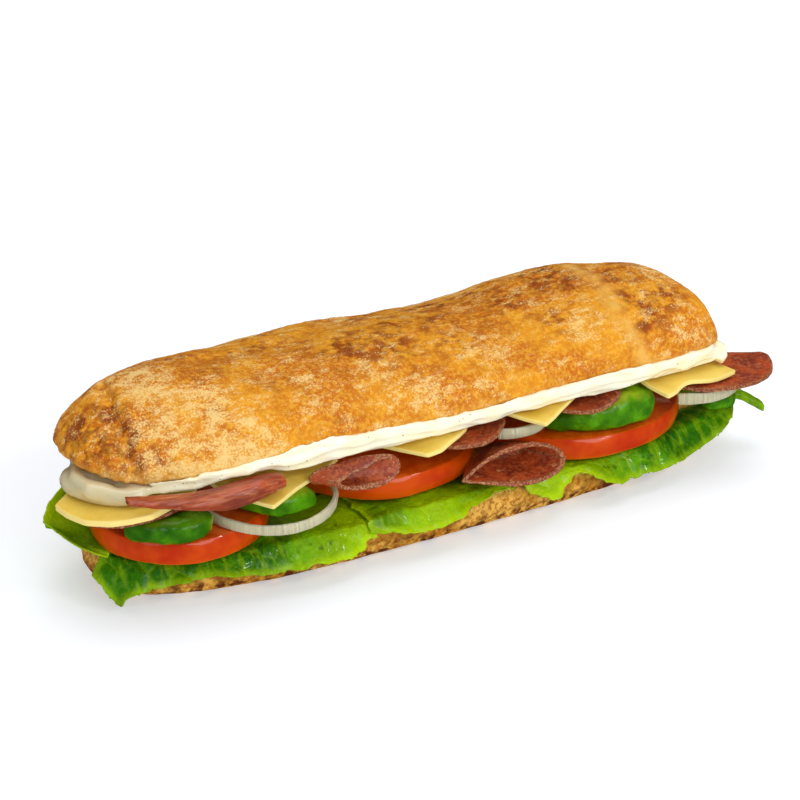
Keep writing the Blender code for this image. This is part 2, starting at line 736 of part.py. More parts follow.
def build():
    for old in list(bpy.data.objects):
        bpy.data.objects.remove(old)

    make_lower_bread()

    # Lettuce
    make_leaf(
        "leaf_front_left",
        (-140, -14),
        (-41, -42),
        (7, 9, 26, 30, 30),
        (6, 12, 9, 9, 8, 10, 9, 10, 11, 9, 6),
        (7, 12, 7, 6, 6, 6, 8, 8, 8, 8, 6),
        1.2,
        3.0,
        0.2,
        20,
        puff=0.6,
    )
    make_leaf(
        "leaf_left_end",
        (-126, 34),
        (-137, -20),
        (7, 9, 8, 4),
        (5, 4.5, 6.5, 13, 10.5, 6.5, 3),
        (-20, -18.5, -14, -7, -5, -3, -1.5),
        0.3,
        1,
        0.4,
        12,
        puff=1.5,
    )
    make_leaf(
        "leaf_front_middle",
        (-46, -42),
        (22, -42),
        (26, 26),
        (5, 9, 10, 5, 2),
        (2, 5, 5, 1, 0),
        0.6,
        1.4,
        1.1,
        12,
        puff=2.2,
    )
    make_leaf(
        "leaf_front_right",
        (24, -42),
        (139.5, -10),
        (30, 30, 30, 26, 9, 7),
        (3, 9, 5, 11, 10, 11, 10, 9, 10, 10, 8),
        (4, 9, 2, 9, 8, 9, 9, 8, 6, 2, -4),
        1.2,
        3.4,
        2.0,
        21,
        puff=0.6,
    )
    back_edge = (6, 9, 8, 10, 8, 9, 7), (4, 7, 6, 8, 7, 8, 5)
    make_leaf("leaf_back_right", (136, 20), (8, 42), (7, 20, 24, 24), *back_edge, 1.3, 3.0, 0.9, 12, 0.6)
    make_leaf("leaf_back_left", (-2, 42), (-116, 40), (24, 24, 24, 14), *back_edge, 1.3, 3.0, 2.7, 12, 0.6)
    rib_spine = ((120, -18, 24), (134, -24, 24), (144, -29, 21.5), (152, -33, 16))
    make_leaf_rib("leaf_rib", rib_spine, (4, 7, 7.5, 7), 2.6)

    # Tomato
    make_tomato("tomato_left", slice_plan((-106, -11), (33, 33)))
    make_tomato("tomato_middle", slice_plan((-19, -7), (38.5, 33)), 23)
    make_tomato("tomato_right", slice_plan((71, -12), (44.5, 34.5)), 21)
    make_tomato("tomato_back_left", segment_plan((-66, 12), (31, 31), 30), rows=3)
    make_tomato("tomato_back_middle", segment_plan((24, 14), (32, 30), 32), rows=3)
    make_tomato("tomato_back_right", segment_plan((104, 12), (28, 30), 30), rows=3)

    # Avocado and onion
    make_onion("onion_front_left", (-78, -28.5), 25, -195, 10, 30.3, 4.5, 3.6)
    make_avocado(
        "avocado_left",
        ((-133, -28, 0), (-127, -34, 0), (-119, -38.5, 0), (-106.5, -40, 0)),
        (7, 10, 12, 12),
        (7, 9, 9, 9),
        29,
    )
    make_avocado(
        "avocado_middle",
        ((-90, -26, 0), (-83, -33, 0), (-75, -38, 0), (-65, -37, 0)),
        (9, 12, 13, 11),
        (8, 9, 9, 7),
        29,
    )
    make_avocado(
        "avocado_right",
        ((44, -27, 0), (55, -33, 0), (70, -38, 0), (88, -38, 0)),
        (8, 13, 17, 15),
        (6, 10, 14, 14),
        30,
    )
    make_avocado(
        "avocado_right_end",
        ((118, -36, 2), (123, -38, 1), (128, -37, 0), (133, -32, 0)),
        (7, 8, 8, 7),
        (7, 8, 8, 7),
        24,
    )
    make_avocado(
        "avocado_back_left",
        ((-44, 33, 0), (-55, 37, 0), (-66, 38, 0), (-76, 33, 0)),
        (9, 12, 13, 10),
        (8, 10, 10, 8),
        0,
    )
    make_avocado(
        "avocado_back_right",
        ((66, 30, 0), (56, 35, 0), (44, 36, 0), (34, 31, 0)),
        (9, 13, 13, 10),
        (8, 10, 10, 8),
        0,
    )
    make_onion("onion_middle", (24, -27), 18, 235, 365, 39, 0.0)
    make_onion("onion_right", (112, -26), 24, 232, 335, 35.5, 0.0, 4.6)
    make_onion("onion_back", (-2, 26), 22, -20, 200, 0, 2.0)

    # Salami that lies flat
    left_salami_cut = [((-150, -17), (-0.7, 0.7))]
    right_end_cut = [((143, -30), (0.49, 0.87))]
    for name, plan, level, hang, wave in (
        ("left", slice_plan((-128, -14), (25, 25), 0, 1, 0.03, 1, left_salami_cut), 38.8, 0.15, 0.6),
        ("middle", slice_plan((2, -17), (23, 32), 0, 1, 0.05, 2), 42, 0.65, 1.0),
        ("right", slice_plan((56, -18), (24, 30), 0, 1, 0.05, 3), 41, 0.4, 0.8),
        ("right_end", slice_plan((122.5, -31), (27.5, 24), 0, 0.93, 0.03, 4, right_end_cut), 41, 0.1, 0.4),
    ):
        make_slice("salami_" + name, "salami", plan, level, SALAMI_THICKNESS, hang, wave)
    for name, x in (("left", -92), ("middle", -14), ("right", 76)):
        plan = segment_plan((x, 16), (34, 32), 18)
        make_slice("salami_back_" + name, "salami", plan, 39.2, SALAMI_THICKNESS, wave=1.2, rows=4)

    # Cheese
    left_cuts = [((-155.4, -16.8), (-0.69, 0.72)), ((-122, -39), (0.4, -0.92))]
    for name, plan, level, hang, rows in (
        ("left", slice_plan((-129, -4), (28.5, 38), 0, 0.88, 0.02, 1, left_cuts), 40.5, 0.1, 7),
        ("left_middle", slice_plan((-75.5, -26.9), (22.5, 16), 30, 0.12), 39.0, 0.2, 6),
        ("middle", slice_plan((-25.1, -12.1), (20, 38), 32, 0.45, 0.03, 2), 43, 0.2, 6),
        ("right_middle", slice_plan((24.3, -5.7), (22.5, 43), 32, 0.06), 42.5, 0.3, 9),
        ("right", slice_plan((97, -7.2), (20, 45), 10, 0.06), 43.4, 0.2, 9),
    ):
        make_slice("cheese_" + name, "cheese", plan, level, CHEESE_THICKNESS, hang, rows=rows)

    # Salami that is rolled or folded
    make_pocket(
        "salami_pocket_large",
        (
            (-8, -50, 29.5),
            (1, -49.5, 35),
            (12, -49, 38),
            (24, -49, 38),
            (34, -50, 34.5),
            (39, -51, 29),
            (36, -52.5, 24.5),
            (27, -54, 22.8),
            (15, -54, 23.6),
            (3, -53, 27),
        ),
        (20, -30, 28),
        (7, 2.5),
    )
    make_pocket(
        "salami_pocket_small",
        (
            (-60.4, -49.5, 42.6),
            (-55, -48.7, 44.6),
            (-46.5, -47.7, 46.4),
            (-39, -47.2, 47.6),
            (-34.6, -48, 46),
            (-33.6, -49, 42.6),
            (-35.8, -50, 39.2),
            (-42, -51, 37.4),
            (-51, -51, 38),
            (-59.4, -50, 40.2),
        ),
        (-65, -42, 42.5),
        (2.5, 2.5),
        swell=1.0,
        deep=1.0,
    )
    make_folded_salami(
        "salami_folded",
        (
            (-138, -44, 50.5),
            (-130, -46, 48.4),
            (-121, -48, 46.0),
            (-110, -50, 43.0),
            (-99, -50.5, 41.4),
            (-89, -50, 42.6),
            (-79.5, -47.5, 44.0),
        ),
        (2.5, 3.0, 4.4, 6.6, 8.2, 7.6, 4.6),
        1.5,
    )

    make_upper_bread()
    make_mayonnaise()


build()
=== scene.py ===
"""Dresses a submarine sandwich: crust, mayonnaise, lettuce, tomato, avocado, onion, salami and cheese.

Each food has an operator that takes the plain solids of the frame, refines their meshes, gives them their
fine relief and finish, and puts the result in their place.
"""

import math
import random

import bmesh
import bpy
from bpy.props import FloatProperty, FloatVectorProperty, IntProperty, PointerProperty
from mathutils import Matrix, Vector, noise
from mathutils.bvhtree import BVHTree
from mathutils.kdtree import KDTree


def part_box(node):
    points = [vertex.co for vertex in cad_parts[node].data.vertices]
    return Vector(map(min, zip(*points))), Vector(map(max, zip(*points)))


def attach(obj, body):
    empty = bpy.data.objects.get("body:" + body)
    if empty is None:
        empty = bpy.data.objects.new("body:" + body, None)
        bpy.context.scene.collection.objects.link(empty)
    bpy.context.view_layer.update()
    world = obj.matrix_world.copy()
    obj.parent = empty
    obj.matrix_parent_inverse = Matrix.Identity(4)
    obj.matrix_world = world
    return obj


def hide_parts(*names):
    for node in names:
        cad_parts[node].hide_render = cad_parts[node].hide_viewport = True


bl_info = {
    "name": "Submarine Sandwich",
    "version": (1, 0, 0),
    "blender": (4, 5, 0),
    "location": "3D View > Sidebar > Sandwich",
    "description": "Dresses a long filled roll with its crust, fillings and sauce",
    "category": "Object",
}

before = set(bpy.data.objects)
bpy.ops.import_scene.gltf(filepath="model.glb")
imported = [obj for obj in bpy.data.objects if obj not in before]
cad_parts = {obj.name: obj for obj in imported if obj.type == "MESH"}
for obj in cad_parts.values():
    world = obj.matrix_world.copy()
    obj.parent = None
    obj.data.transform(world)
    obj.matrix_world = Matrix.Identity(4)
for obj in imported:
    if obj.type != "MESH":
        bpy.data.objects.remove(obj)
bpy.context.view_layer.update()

MM = 0.001
LEAF_SOLID = 0.9 * MM
SALAMI_SOLID = 1.7 * MM
CHEESE_SOLID = 2.3 * MM

# The camera, fitted to the loaf
VIEW_TARGET = Vector((-0.008, -0.004, 0.045))
VIEW_AZIMUTH = 29.774
VIEW_ELEVATION = 25.0
VIEW_DISTANCE = 0.75
VIEW_LENS = 86.15
SENSOR = 36.0

# The floor and the lights: each sun has its place and its spread in degrees
WHITE = (1.0, 1.0, 1.0, 1.0)
FLOOR_COLOUR = (0.68, 0.71, 0.76)
FLOOR_REACH = 4.0
SUNS = {
    "key": ((0.14, 0.05, 1.1), 45),
    "fill": ((0.1, -1.1, 0.55), 40),
    "side": ((-0.9, -0.5, 0.45), 30),
}
SPARK_PLACE = (0.35, -0.75, 0.7)
SPARK_WIDTH = 0.12
SPARK_HEIGHT = 0.08

# Places on the crust in millimetres: centre, radius and strength
FLOUR_SPOTS = (
    ((-116, -13, 76), 11, 0.9),
    ((-121, -25, 68), 9, 0.8),
    ((-97, -21, 73), 8, 1.0),
    ((-99, -27, 71), 7, 0.8),
    ((-121, 0, 77), 10, 0.6),
    ((-119, -36, 58), 8, 0.8),
    ((-109, -39, 55), 9, 1.0),
    ((-98, -41, 56), 9, 1.0),
    ((-86, -42, 58), 9, 0.9),
    ((-87, -34, 67), 8, 0.6),
    ((-57, -28, 71), 10, 0.5),
    ((-76, 4, 75), 10, 0.5),
    ((-32, -30, 70), 11, 0.6),
    ((-22, -41, 64), 6, 0.9),
    ((-13, -40, 64), 6, 0.8),
    ((19, -28, 71), 8, 0.6),
    ((8, -42, 61), 7, 0.4),
    ((110, -7, 78), 11, 0.7),
    ((106, -39, 66), 9, 0.6),
    ((58, -31, 73), 7, 0.7),
    ((-113, 6, 78), 9, 0.6),
)
TOAST_SPOTS = (
    ((88, -12, 80), 7, 0.8),
    ((87, -26, 76), 7, 0.9),
    ((84, -38, 70), 6, 0.7),
    ((-92, -8, 77), 7, 0.7),
    ((-64, 14, 73), 9, 0.8),
    ((-135, -17, 68), 8, 0.7),
    ((-129, -25, 66), 7, 0.6),
    ((-122, -34, 60), 6, 0.5),
    ((-97, -27, 70), 4, 0.5),
    ((-142, -12, 67), 9, 0.6),
    ((-70, -20, 74), 8, 0.5),
    ((-34, -8, 75), 14, 0.9),
    ((-17, -20, 74), 11, 0.8),
    ((7, -23, 72), 9, 0.7),
    ((-55, -44, 58), 6, 0.6),
    ((64, 4, 81), 16, 0.9),
    ((69, -8, 80), 10, 0.7),
    ((94, -6, 81), 11, 0.6),
    ((103, -26, 76), 9, 0.9),
    ((91, -32, 74), 8, 0.8),
    ((50, -25, 75), 8, 0.6),
    ((10, -3, 75), 12, 0.6),
    ((38, -3, 77), 14, 0.7),
    ((-12, 4, 75), 14, 0.7),
)
# The tips of two leaves, and paths through the places of folds and creases, in millimetres
LEAF_TIPS = {"left_end": (-159.3, -10.5, 36.5), "front_left": (-138.9, -27.5, 1.6)}
PALE_RIDGE = ((78, 8, 80), (80, -13, 79.5), (77, -25, 77), (75, -33, 73), (77, -44, 62), (80, -46, 56))
VALLEY = ((-85, 10, 75), (-80, -6, 75.5), (-72, -14, 75), (-60, -24, 72))
END_CREASE = ((-127, 4, 76), (-129, -8, 73), (-130, -15, 70), (-131, -26, 63), (-130, -32, 54))

# Rolls of mayonnaise in millimetres: centres and radii
MAYONNAISE_ROLL = (
    ((-144.5, -2.5, 47.5), 2.3),
    ((-147.0, -8.0, 47.3), 3.4),
    ((-146.8, -12.5, 47.2), 3.9),
    ((-144.9, -17.5, 46.9), 3.7),
    ((-142.0, -22.5, 46.5), 3.3),
    ((-138.8, -27.0, 46.5), 3.0),
    ((-135.0, -30.5, 47.0), 3.1),
    ((-131.0, -32.5, 47.8), 2.8),
    ((-127.5, -33.0, 48.6), 2.4),
)
MAYONNAISE_HOLLOW = ((-141.0, -18, 51.0), (-139.0, -20, 50.2), (-136.5, -23, 49.8), (-134.9, -26, 49.2))
MAYONNAISE_FLAP = (
    ((119.0, -33.0, 52.0), 2.2),
    ((122.5, -35.5, 52.0), 2.8),
    ((123.8, -38.0, 50.8), 2.9),
    ((123.0, -40.0, 48.6), 2.4),
    ((120.0, -41.0, 47.4), 1.8),
)


def shade(red, green, blue):
    """A screen colour (0 to 255) as the linear colour that a material takes."""
    shares = (red / 255, green / 255, blue / 255)
    return tuple(((s + 0.055) / 1.055) ** 2.4 if s > 10 / 255 else s / 12.92 for s in shares)


def solid(colour):
    return (*colour, 1.0)


def smooth_step(x, start, end):
    t = min(1.0, max(0.0, (x - start) / (end - start)))
    return t * t * (3 - 2 * t)


def bell(x, width):
    """A soft hump: 1 at zero, and about a third at the width."""
    return math.exp(-((x / width) ** 2))


def wavy(spot, size, seed=0.0):
    """Smooth noise from about -1 to 1, with waves of this size in metres."""
    return noise.noise(Vector((spot[0] / size + seed, spot[1] / size + seed * 0.7, spot[2] / size - seed)))


def drawn_out(spot, share):
    """A place whose x is shortened, so that noise there runs in streaks along x."""
    return spot.x * share, spot.y, spot.z


def spots_at(point, spots):
    """How strongly a place is covered by round soft spots that are given in millimetres."""
    bare = 1.0
    for centre, radius, strength in spots:
        distance = (point - Vector(centre) * MM).length / (radius * MM)
        if distance < 2.2:
            bare *= 1 - strength * math.exp(-distance * distance)
    return 1 - bare


def near_path(point, path):
    """The distance in millimetres from a point to a path through points in millimetres."""
    best = 1e9
    spot = point / MM
    for start, end in zip(path, path[1:]):
        start, end = Vector(start), Vector(end)
        along = end - start
        share = min(1.0, max(0.0, (spot - start).dot(along) / along.length_squared))
        best = min(best, (spot - start - along * share).length)
    return best


# Meshes


def copied(node):
    """A merged copy of a frame solid, with its triangles joined back into quads."""
    bm = bmesh.new()
    bm.from_mesh(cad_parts[node].data)
    bmesh.ops.remove_doubles(bm, verts=bm.verts[:], dist=0.002 * MM)
    for layers in (bm.loops.layers.uv, bm.loops.layers.float_color, bm.loops.layers.color):
        for layer in list(layers.values()):
            layers.remove(layer)
    wide = math.radians(100)
    bmesh.ops.join_triangles(bm, faces=bm.faces[:], angle_face_threshold=wide, angle_shape_threshold=wide)
    return bm


def reshaped(bm, *modifiers):
    """The mesh after these modifiers, each a type and its settings."""
    mesh = bpy.data.meshes.new("working")
    bm.to_mesh(mesh)
    piece = bpy.data.objects.new("working", mesh)
    bpy.context.scene.collection.objects.link(piece)
    for kind, settings in modifiers:
        modifier = piece.modifiers.new(kind, kind)
        for key, value in settings.items():
            setattr(modifier, key, value)
    graph = bpy.context.evaluated_depsgraph_get()
    bm.clear()
    bm.from_object(piece, graph)
    bpy.data.objects.remove(piece)
    bpy.data.meshes.remove(mesh)
    bm.normal_update()
    return bm


def rounded(levels):
    return "SUBSURF", {"levels": levels, "render_levels": levels}


def divided(levels):
    return "SUBSURF", {"subdivision_type": "SIMPLE", "levels": levels, "render_levels": levels}


def remeshed(size):
    return "REMESH", {"mode": "VOXEL", "voxel_size": size, "adaptivity": 0.0}


def thickened(thickness):
    return "SOLIDIFY", {"thickness": thickness, "offset": -1.0, "use_even_offset": False}


def softened(width, segments=2):
    """Rounds the rim of a slice."""
    limit = {"limit_method": "ANGLE", "angle_limit": math.radians(55)}
    return "BEVEL", {"width": width, "segments": segments, **limit}


def upper_sheet(node, thickness):
    """The upper face of a thin solid, as an open sheet."""
    bm = copied(node)
    tree = KDTree(len(bm.verts))
    for i, v in enumerate(bm.verts):
        tree.insert(v.co, i)
    tree.balance()
    down = Vector((0, 0, thickness))
    upper = {v for v in bm.verts if tree.find(v.co - down)[2] < 0.04 * MM}
    others = [f for f in bm.faces if not all(v in upper for v in f.verts)]
    bmesh.ops.delete(bm, geom=others, context="FACES")
    bmesh.ops.delete(bm, geom=[v for v in bm.verts if not v.link_faces], context="VERTS")
    bm.normal_update()
    if sum(f.normal.z * f.calc_area() for f in bm.faces) < 0:
        bmesh.ops.reverse_faces(bm, faces=bm.faces[:])
        bm.normal_update()
    return bm


def eased(bm, passes, rim_passes=0):
    """Smooths a mesh in place. The open rim of a sheet is smoothed along itself."""
    inner = [v for v in bm.verts if not v.is_boundary]
    for _ in range(passes):
        bmesh.ops.smooth_vert(bm, verts=inner, factor=0.5, use_axis_x=True, use_axis_y=True, use_axis_z=True)
    rim = [v for v in bm.verts if v.is_boundary]
    for _ in range(rim_passes):
        ends = [[e.other_vert(v).co.copy() for e in v.link_edges if e.is_boundary] for v in rim]
        for v, near in zip(rim, ends):
            v.co = v.co.lerp(sum(near, Vector()) / len(near), 0.5)
    bm.normal_update()
    return bm


def moved_out(bm, height):
    """Moves each vertex along its normal by height(vertex), in metres."""
    bm.normal_update()
    moves = [(v, v.normal * height(v)) for v in bm.verts]
    for v, move in moves:
        v.co += move
    bm.normal_update()


def rim_distances(bm):
    """The distance of each vertex from the open edge of a sheet."""
    rim = [v for v in bm.verts if v.is_boundary]
    tree = KDTree(len(rim))
    for i, v in enumerate(rim):
        tree.insert(v.co, i)
    tree.balance()
    bm.verts.index_update()
    return [tree.find(v.co)[2] for v in bm.verts]


def paint(bm, name, values):
    """Stores up to three values for each vertex, for the materials to read."""
    layer = bm.verts.layers.float_color.new(name)
    for v in bm.verts:
        v[layer] = (*values(v), 1.0)


def finish(bm, name, nodes, material):
    """Makes the mesh an object that stands for its frame solids."""
    mesh = bpy.data.meshes.new(name)
    bm.to_mesh(mesh)
    bm.free()
    mesh.shade_smooth()
    mesh.materials.append(material)
    piece = bpy.data.objects.new(name, mesh)
    bpy.context.scene.collection.objects.link(piece)
    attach(piece, "root")
    if nodes:
        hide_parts(*nodes)
    return piece


def facing(way):
    """The turn that points the Z axis this way."""
    return way.to_track_quat("Z", "Y").to_matrix().to_4x4()


def tube(bm, path, sides=24):
    """Adds a closed round roll that follows a path of centres and radii in millimetres."""
    rings = []
    for i, (centre, radius) in enumerate(path):
        centre = Vector(centre) * MM
        ahead = Vector(path[min(i + 1, len(path) - 1)][0]) - Vector(path[max(i - 1, 0)][0])
        ring = bmesh.ops.create_circle(bm, segments=sides, radius=radius * MM)["verts"]
        bmesh.ops.transform(bm, matrix=Matrix.Translation(centre) @ facing(ahead), verts=ring)
        rings.append(ring)
    for lower, upper in zip(rings, rings[1:]):
        edges = [e for e in bm.edges if (e.verts[0] in lower and e.verts[1] in lower)]
        edges += [e for e in bm.edges if (e.verts[0] in upper and e.verts[1] in upper)]
        bmesh.ops.bridge_loops(bm, edges=edges)
    for ring in (rings[0], rings[-1]):
        bmesh.ops.contextual_create(bm, geom=ring)


def sharp_points(bm, least=50):
    """A search tree of points along the edges that turn by more than this many degrees."""
    points = []
    for edge in bm.edges:
        if edge.calc_face_angle(0.0) > math.radians(least):
            first, last = (v.co for v in edge.verts)
            steps = max(1, int((last - first).length / (0.4 * MM)))
            points += [first.lerp(last, i / steps) for i in range(steps + 1)]
    tree = KDTree(len(points))
    for i, point in enumerate(points):
        tree.insert(point, i)
    tree.balance()
    return tree


def bits_on(places, radii, flatness, seed, sides=1):
    """Small uneven bits that sit on places, each a point and the way that the surface faces."""
    pick = random.Random(seed)
    bm = bmesh.new()
    for point, normal in places:
        radius = pick.uniform(*radii)
        ball = bmesh.ops.create_icosphere(bm, subdivisions=sides, radius=radius)["verts"]
        for v in ball:
            v.co *= pick.uniform(0.85, 1.15) if sides == 1 else 1.0
        flat = Matrix.Diagonal((pick.uniform(0.8, 1.3), pick.uniform(0.7, 1.0), flatness, 1.0))
        turn = facing(normal) @ Matrix.Rotation(pick.uniform(0, 6.28), 4, "Z")
        place = Matrix.Translation(point + normal * radius * flatness * 0.35)
        bmesh.ops.transform(bm, matrix=place @ turn @ flat, verts=ball)
    return bm


def picked_places(bm, count, seed, wanted):
    """Vertices that are wanted, picked at random, as points and normals."""
    pick = random.Random(seed)
    fitting = [(v.co.copy(), v.normal.copy()) for v in bm.verts if wanted(v)]
    return pick.sample(fitting, min(count, len(fitting)))


# Materials


class Wiring:
    """A node tree, with short ways to add nodes to it."""

    def __init__(self, tree):
        self.tree = tree

    def put(self, socket, value):
        if isinstance(value, bpy.types.NodeSocket):
            self.tree.links.new(value, socket)
        else:
            socket.default_value = value

    def add(self, kind, sockets=None, **settings):
        node = self.tree.nodes.new("ShaderNode" + kind)
        for key, value in settings.items():
            setattr(node, key, value)
        for key, value in (sockets or {}).items():
            self.put(node.inputs[key], value)
        return node

    def mix(self, share, first, second, way="MIX"):
        """Blends two colours."""
        node = self.add("Mix", data_type="RGBA", blend_type=way)
        for index, value in ((0, share), (6, first), (7, second)):
            self.put(node.inputs[index], value)
        return node.outputs[2]

    def maths(self, way, first, second=0.0, clamp=False):
        node = self.add("Math", operation=way, use_clamp=clamp)
        self.put(node.inputs[0], first)
        self.put(node.inputs[1], second)
        return node.outputs[0]

    def ramp(self, value, start, end, low=0.0, high=1.0):
        """A smooth step from low to high as the value goes from start to end."""
        sockets = {"Value": value, "From Min": start, "From Max": end, "To Min": low, "To Max": high}
        return self.add("MapRange", sockets, interpolation_type="SMOOTHSTEP").outputs["Result"]


def group(name, inputs, outputs):
    """A new node group, as its wiring and the nodes that carry its inputs and outputs."""
    tree = bpy.data.node_groups.new(name, "ShaderNodeTree")
    for kind, label, default in inputs:
        socket = tree.interface.new_socket(name=label, in_out="INPUT", socket_type="NodeSocket" + kind)
        socket.default_value = default
    for kind, label in outputs:
        tree.interface.new_socket(name=label, in_out="OUTPUT", socket_type="NodeSocket" + kind)
    wiring = Wiring(tree)
    given = tree.nodes.new("NodeGroupInput").outputs
    result = tree.nodes.new("NodeGroupOutput").inputs
    return wiring, given, result


def placed(wiring, given):
    """Object coordinates that are stretched and shifted as a group's inputs say."""
    spot = wiring.add("TexCoord").outputs["Object"]
    spot = wiring.add("VectorMath", {0: spot, 1: given["Stretch"]}, operation="MULTIPLY").outputs[0]
    return wiring.add("VectorMath", {0: spot, 1: given["Seed"]}, operation="ADD").outputs[0]


def mottling_group():
    """Soft blotches: a mask between two thresholds of noise, and the noise itself."""
    wiring, given, result = group(
        "Mottling",
        (
            ("Float", "Scale", 100.0),
            ("Float", "Detail", 3.0),
            ("Float", "Start", 0.4),
            ("Float", "End", 0.6),
            ("Vector", "Stretch", (1, 1, 1)),
            ("Vector", "Seed", (0, 0, 0)),
        ),
        (("Float", "Mask"), ("Float", "Value")),
    )
    sockets = {"Vector": placed(wiring, given), "Scale": given["Scale"], "Detail": given["Detail"]}
    value = wiring.add("TexNoise", {**sockets, "Roughness": 0.6}).outputs[0]
    wiring.put(result["Value"], value)
    wiring.put(result["Mask"], wiring.ramp(value, given["Start"], given["End"]))
    return wiring.tree


def fleck_group():
    """Scattered flecks with uneven outlines, some cells left empty."""
    wiring, given, result = group(
        "Flecks",
        (
            ("Float", "Scale", 300.0),
            ("Float", "Size", 0.35),
            ("Float", "Share", 0.5),
            ("Float", "Warp", 0.002),
            ("Vector", "Stretch", (1, 1, 1)),
            ("Vector", "Seed", (0, 0, 0)),
        ),
        (("Float", "Mask"),),
    )
    spot = placed(wiring, given)
    bend = wiring.add("TexNoise", {"Vector": spot, "Scale": wiring.maths("MULTIPLY", given["Scale"], 1.3)})
    bend = wiring.add("VectorMath", {0: bend.outputs["Color"], 1: (0.5, 0.5, 0.5)}, operation="SUBTRACT")
    bend = wiring.add("VectorMath", {0: bend.outputs[0], "Scale": given["Warp"]}, operation="SCALE")
    spot = wiring.add("VectorMath", {0: spot, 1: bend.outputs[0]}, operation="ADD").outputs[0]
    cells = wiring.add("TexVoronoi", {"Vector": spot, "Scale": given["Scale"]})
    picked = wiring.add("SeparateColor", {"Color": cells.outputs["Color"]}).outputs[0]
    kept = wiring.maths("LESS_THAN", picked, given["Share"])
    core = wiring.maths("MULTIPLY", given["Size"], 0.6)
    inside = wiring.ramp(cells.outputs["Distance"], given["Size"], core)
    wiring.put(result["Mask"], wiring.maths("MULTIPLY", inside, kept))
    return wiring.tree


class Finish(Wiring):
    """A material that is put together around one Principled shader."""

    def __init__(self, name, **fixed):
        self.material = bpy.data.materials.new(name)
        self.material.use_nodes = True
        super().__init__(self.material.node_tree)
        self.shader = self.tree.nodes["Principled BSDF"].inputs
        for key, value in fixed.items():
            self.shader[key.replace("_", " ")].default_value = value

    def use(self, name, **inputs):
        """Places a node group, with values for its inputs."""
        made = bpy.data.node_groups.get(name) or {"Mottling": mottling_group, "Flecks": fleck_group}[name]()
        node = self.tree.nodes.new("ShaderNodeGroup")
        node.node_tree = made
        for key, value in inputs.items():
            self.put(node.inputs[key.capitalize()], value)
        return node.outputs

    def mottling(self, scale, start=0.4, end=0.6, **inputs):
        return self.use("Mottling", scale=scale, start=start, end=end, **inputs)["Mask"]

    def grain(self, **inputs):
        """The noise of a mottling, without its thresholds."""
        return self.use("Mottling", **inputs)["Value"]

    def over(self, base, colour, share, strength=1.0):
        """Lays a colour over the base where the share says so."""
        if strength != 1.0:
            share = self.maths("MULTIPLY", share, strength)
        return self.mix(share, base, solid(colour))

    def painted(self, name):
        """The three values that a mesh carries, as separate sockets."""
        colour = self.add("Attribute", attribute_name=name).outputs["Color"]
        return self.add("SeparateColor", {"Color": colour}).outputs

    def relief(self, *layers):
        """Bumps of several heights, each a distance in metres and a value."""
        normal = None
        for distance, value in layers:
            sockets = {"Height": value, "Distance": distance}
            if normal is not None:
                sockets["Normal"] = normal
            normal = self.add("Bump", sockets).outputs["Normal"]
        self.put(self.shader["Normal"], normal)

    def colour(self, value):
        self.put(self.shader["Base Color"], value)

    def roughness(self, value):
        self.put(self.shader["Roughness"], value)


def crust_finish(look):
    """Golden baked crust, mottled, browned in places and dusted with flour."""
    made = Finish("crust", Specular_IOR_Level=0.22)
    flour, browning_and_shade, pale = made.painted("baking")[0:3]
    broad = made.mottling(34, 0.40, 0.60)
    freckles = made.mottling(620, 0.44, 0.60, detail=4.0, seed=(1, 8, 2))
    patches = made.mottling(170, 0.44, 0.62, detail=6.0)
    base = made.mix(broad, solid(look.golden), solid(look.amber))
    base = made.over(base, look.honey, freckles, 0.55)
    # The second painted value is browning, and also painted shade along the end crease and over the left end;
    # it pulls the crust toward the toasted and scorched colours.
    share = made.maths("ADD", made.maths("MULTIPLY", browning_and_shade, 1.2), 0.18)
    base = made.mix(made.maths("MULTIPLY", patches, share, clamp=True), base, solid(look.toasted_and_shade))
    burnt = made.mottling(260, 0.44, 0.58, detail=4.0, seed=(5, 5, 1))
    deep = made.maths("MULTIPLY", made.ramp(browning_and_shade, 0.35, 1.0), burnt)
    base = made.over(base, look.scorched, deep, 0.5)
    base = made.over(base, look.pale_crust, pale, 0.75)
    drift = made.maths("MULTIPLY", made.mottling(48, 0.4, 0.7, seed=(9, 2, 4)), 0.035)
    cover = made.maths("ADD", made.maths("MULTIPLY", flour, 0.11), drift)
    coarse = made.grain(scale=260, detail=6.0, stretch=(0.6, 1, 1), seed=(6, 6, 2))
    grains = made.grain(scale=1300, detail=4.0, seed=(3, 1, 7))
    film = made.ramp(made.maths("ADD", coarse, made.maths("MULTIPLY", cover, 1.5)), 0.54, 0.76)
    base = made.over(base, look.flour, film, 0.35)
    specks = made.maths("ADD", made.maths("MULTIPLY", grains, 0.6), made.maths("MULTIPLY", coarse, 0.4))
    specks = made.ramp(made.maths("ADD", specks, cover), 0.55, 0.65)
    base = made.over(base, look.flour, specks, 0.78)
    made.colour(base)
    made.roughness(made.ramp(specks, 0.0, 1.0, 0.5, 0.9))
    made.relief((0.00045, grains), (0.0004, coarse))
    return made.material


